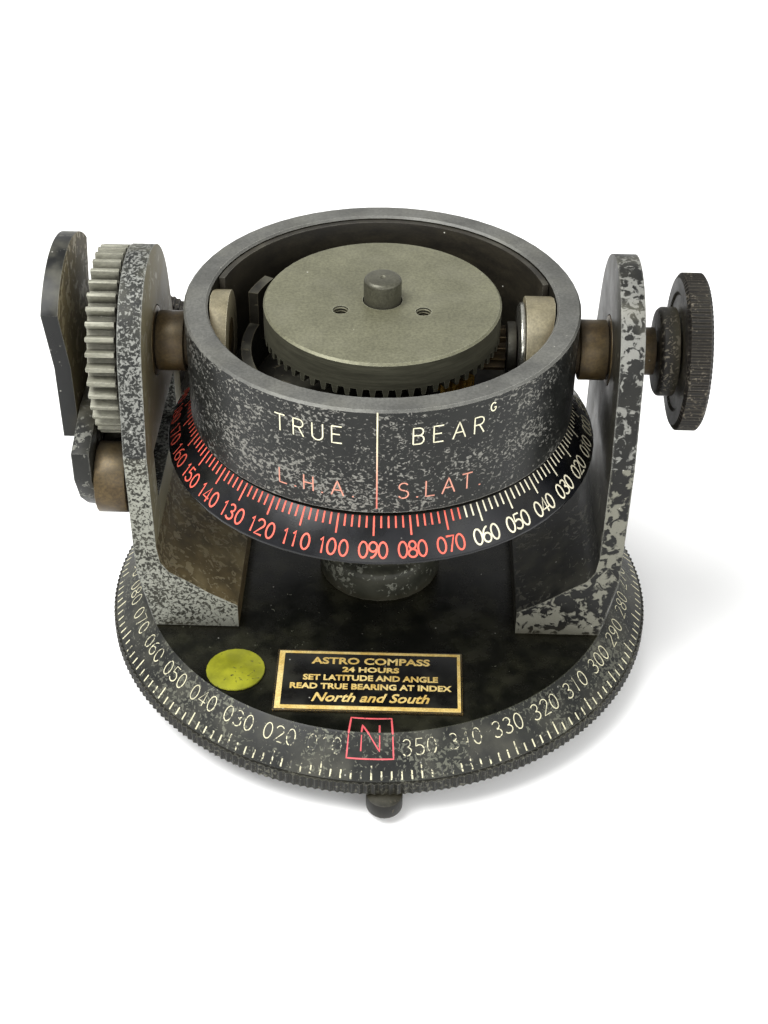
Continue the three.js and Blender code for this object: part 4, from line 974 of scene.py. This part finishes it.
def over_corner(u, v):
    """Up the bevel, then on to the flat; u is measured at the corner's radius."""
    angle = u / BAND_IN_R - math.pi / 2
    if v <= band_length:
        return bearing_cone(u * BAND_MIDDLE_R / BAND_IN_R, v)
    out = Vector((math.cos(angle), math.sin(angle), 0))
    return out * (BAND_IN_R - (v - band_length)) + Vector((0, 0, table_high)), Vector((0, 0, 1))


def stepped(stroke, step=0.6):
    """The same stroke with a point at least every step, so that it can bend."""
    points = [stroke[0]]
    for (u0, v0), (u1, v1) in zip(stroke, stroke[1:]):
        count = max(1, round(math.hypot(u1 - u0, v1 - v0) / step))
        points += [(u0 + (u1 - u0) * i / count, v0 + (v1 - v0) * i / count) for i in range(1, count + 1)]
    return points


box_left, box_right, box_low, box_high = -4.4, 3.8, band_length - 4.8, band_length + 3.7
box_corners = [(box_left, box_low), (box_right, box_low), (box_right, box_high), (box_left, box_high)]
N_HEIGHT = 5.4
north = [box_corners + box_corners[:1]]
north += line_of("N", N_HEIGHT, N_HEIGHT * 0.62, box_low + 1.4, -0.3)
marks("north_mark", [stepped(s) for s in north], 0.36, over_corner, north_fill, "turntable")
print(len(bearing_strokes), "strokes on the bearing scale")

# %% [markdown]
# ## The drum's legends
# A fine index line runs down the wall, with the two readings that it serves named beside it:
# the bearing on the turntable, and the hour angle on the ring.

# %% Drum legends
drum_wall = wall(DRUM_R)
INDEX_AT, INDEX_LENGTH = 0.2, 20.6  # degrees from the front, and mm down from the rim
index_u = math.radians(INDEX_AT) * DRUM_R
index_line = [(index_u, DRUM_TOP - INDEX_LENGTH), (index_u, DRUM_TOP - 0.3)]
marks("index_line", [stepped(index_line, 2)], 0.26, drum_wall, index_fill, "drum")


def legend(*words):
    """Strokes of words on the wall: text, height, width, depth under the rim, and degrees round."""
    strokes = []
    for text, height, across, down, degrees in words:
        strokes += line_of(text, height, across, DRUM_TOP - down, math.radians(degrees) * DRUM_R)
    return [stepped(stroke) for stroke in strokes]


upper = legend(("TRUE", 3.4, 12.4, 7.1, -18.9), ("BEAR", 3.3, 12.9, 7.0, 19.8), ("G", 1.7, 1.05, 3.3, 32.6))
lower = legend(("L.H.A.", 3.1, 13.9, 18.3, -16.9), ("S.LAT.", 3.3, 15.2, 18.4, 17.9))
marks("legend_upper", upper, 0.25, drum_wall, legend_cream, "drum")
marks("legend_lower", lower, 0.27, drum_wall, legend_red, "drum")

# %% [markdown]
# ## The nameplate
# A thin foil plate with a gold border and a few lines of lettering. The border is four flat bars
# made by insetting the plate's face, and the lines are generic words.

# %% Nameplate border and words
plate_low, plate_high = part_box("nameplate")
bpy.ops.object.select_all(action="DESELECT")
bpy.ops.mesh.primitive_plane_add(size=1, location=(0, 0, 0))
border = bpy.context.active_object
border.name = border.data.name = "nameplate_border"
BORDER_EDGE, BORDER_WIDTH = 0.35, 0.62
size = plate_high - plate_low
plate_middle = Vector(((plate_low.x + plate_high.x) / 2, (plate_low.y + plate_high.y) / 2, plate_high.z))
border.data.transform(Matrix.Diagonal((size.x - 2 * BORDER_EDGE * MM, size.y - 2 * BORDER_EDGE * MM, 1, 1)))
border.data.transform(Matrix.Translation(plate_middle))
pick_faces(border, lambda c, n: True)
bpy.ops.mesh.inset(thickness=BORDER_WIDTH * MM, depth=0)
bpy.ops.mesh.delete(type="FACE")
bpy.ops.mesh.select_all(action="SELECT")
bpy.ops.mesh.extrude_region_move(TRANSFORM_OT_translate={"value": (0, 0, 0.05 * MM)})
bpy.ops.mesh.select_all(action="SELECT")
bpy.ops.mesh.normals_make_consistent(inside=False)
bpy.ops.object.mode_set(mode="OBJECT")
inner_left = plate_low.x + (BORDER_EDGE + BORDER_WIDTH) * MM
inner_low = plate_low.y + (BORDER_EDGE + BORDER_WIDTH) * MM
for vertex in border.data.vertices:  # the left and lower bars are the wider ones
    if abs(vertex.co.x - inner_left) < 0.05 * MM:
        vertex.co.x += 0.45 * MM
    if abs(vertex.co.y - inner_low) < 0.05 * MM:
        vertex.co.y += 0.35 * MM
border.data.materials.append(plate_gold)
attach(border, "turntable")

LINES = (  # text, height of its capitals, its baseline above the plate's middle, and its width
    ("ASTRO COMPASS", 1.8, 4.5, 23.0),
    ("24 HOURS", 1.35, 2.35, 11.0),
    ("SET LATITUDE AND ANGLE", 1.5, 0.0, 26.0),
    ("READ TRUE BEARING AT INDEX", 1.5, -2.35, 31.0),
    ("North and South", 2.4, -5.7, 22.5),
)
words = []
for text, height, y, across in LINES:
    bpy.ops.object.select_all(action="DESELECT")
    bpy.ops.object.text_add()
    line = bpy.context.active_object
    line.data.body = text
    line.data.align_x = "CENTER"
    line.data.size = height * MM * 1.35
    line.data.offset = 0.07 * MM
    line.data.extrude = 0.03 * MM
    line.data.resolution_u = 3
    line.data.shear = 0.35 if text.startswith("North") else 0.0
    bpy.ops.object.convert(target="MESH")
    line = bpy.context.active_object
    width = line.dimensions.x
    line_at = plate_middle + Vector((0.3, y, 0)) * MM
    line.data.transform(Matrix.Translation(line_at) @ Matrix.Diagonal((across * MM / width, 1, 1, 1)))
    line.data.materials.append(plate_gold)
    words.append(line)
only(*words)
bpy.ops.object.join()
words = bpy.context.active_object
bpy.ops.object.mode_set(mode="EDIT")
bpy.ops.mesh.select_all(action="SELECT")
bpy.ops.mesh.remove_doubles(threshold=0.001 * MM)
bpy.ops.mesh.normals_make_consistent(inside=False)
bpy.ops.object.mode_set(mode="OBJECT")
words.name = words.data.name = "nameplate_words"
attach(words, "turntable")
print("nameplate", [round(v / MM, 1) for v in size], "mm")

# %% [markdown]
# ## Tapped holes
# The two holes in the disc are tapped. A few thin rings down each hole read as its thread.

# %% Threads in the sight holes
HOLE_X, HOLE_Y, HOLE_R, THREAD_R, THREAD_PITCH = 7.6, -4, 1.42, 0.16, 0.6
disc_top = DRUM_TOP - 0.2
rings = []
for side in (-1, 1):
    for turn in range(4):
        bpy.ops.object.select_all(action="DESELECT")
        bpy.ops.mesh.primitive_torus_add(
            major_radius=HOLE_R * MM, minor_radius=THREAD_R * MM, major_segments=32, minor_segments=8,
            location=(side * HOLE_X * MM, HOLE_Y * MM, (disc_top - 0.45 - THREAD_PITCH * turn) * MM),
        )
        bpy.ops.object.transform_apply(location=True)
        rings.append(bpy.context.active_object)
only(*rings)
bpy.ops.object.join()
threads = bpy.context.active_object
threads.name = threads.data.name = "sight_hole_threads"
threads.data.materials.append(disc_olive)
smoothed(threads, 60)
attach(threads, "hour_rotor")

# %% [markdown]
# ## Floor, light and camera
# A wide, flat white floor under a white sky keeps the background plain. One large soft light
# stands up and to the left, a weaker one to the right, and the weakest low in front.

# %% Floor
FLOOR_SIZE = 6  # metres, far wider than the view from above
bpy.ops.object.select_all(action="DESELECT")
bpy.ops.mesh.primitive_plane_add(size=FLOOR_SIZE, location=(0, 0, 0))
floor = bpy.context.active_object
floor.name = "floor"
floor_look = bpy.data.materials.new("floor_white")
floor_look.use_nodes = True
floor_look.node_tree.nodes["Principled BSDF"].inputs["Base Color"].default_value = (0.93, 0.93, 0.92, 1)
floor_look.node_tree.nodes["Principled BSDF"].inputs["Roughness"].default_value = 0.9
floor.data.materials.append(floor_look)

# %% Lights
world = bpy.data.worlds.new("studio")
bpy.context.scene.world = world
world.use_nodes = True
world.node_tree.nodes["Background"].inputs["Color"].default_value = (1, 1, 1, 1)
world.node_tree.nodes["Background"].inputs["Strength"].default_value = 0.75


def soft_light(name, place_at, aim, power, side, tone=(1, 1, 1)):
    bpy.ops.object.select_all(action="DESELECT")
    bpy.ops.object.light_add(type="AREA", location=place_at)
    lamp = bpy.context.active_object
    lamp.name = name
    lamp.data.energy = power
    lamp.data.size = side
    lamp.data.color = tone
    lamp.rotation_euler = (Vector(aim) - Vector(place_at)).to_track_quat("-Z", "Y").to_euler()
    return lamp


soft_light("key_light", (-0.35, -0.15, 0.75), (0, 0, 0.04), 9.0, 0.5)
soft_light("fill_light", (0.6, -0.55, 0.5), (0, 0, 0.04), 3.0, 0.6)
soft_light("front_light", (-0.05, -0.8, 0.35), (0, 0, 0.03), 2.5, 0.5)

# %% Camera
CAMERA_AT = Vector((0.005126, -0.249029, 0.225699))
CAMERA_AIM = Vector((0.00078, 0.0, 0.02879))
CAMERA_ROLL = 0.755  # degrees
CAMERA_LENS = 54.4  # mm, before a sensor 36 mm high
bpy.ops.object.select_all(action="DESELECT")
bpy.ops.object.camera_add(location=CAMERA_AT)
camera = bpy.context.active_object
camera.name = "main_camera"
camera.data.sensor_width = 36
camera.data.lens = CAMERA_LENS
camera.data.clip_start, camera.data.clip_end = 0.01, 20
aimed = (CAMERA_AIM - CAMERA_AT).to_track_quat("-Z", "Y").to_matrix()
camera.rotation_euler = (aimed @ Matrix.Rotation(math.radians(CAMERA_ROLL), 3, "Z")).to_euler()
bpy.context.scene.camera = camera
bpy.context.scene.view_settings.view_transform = "Standard"

# %% The last line
bpy.context.view_layer.update()
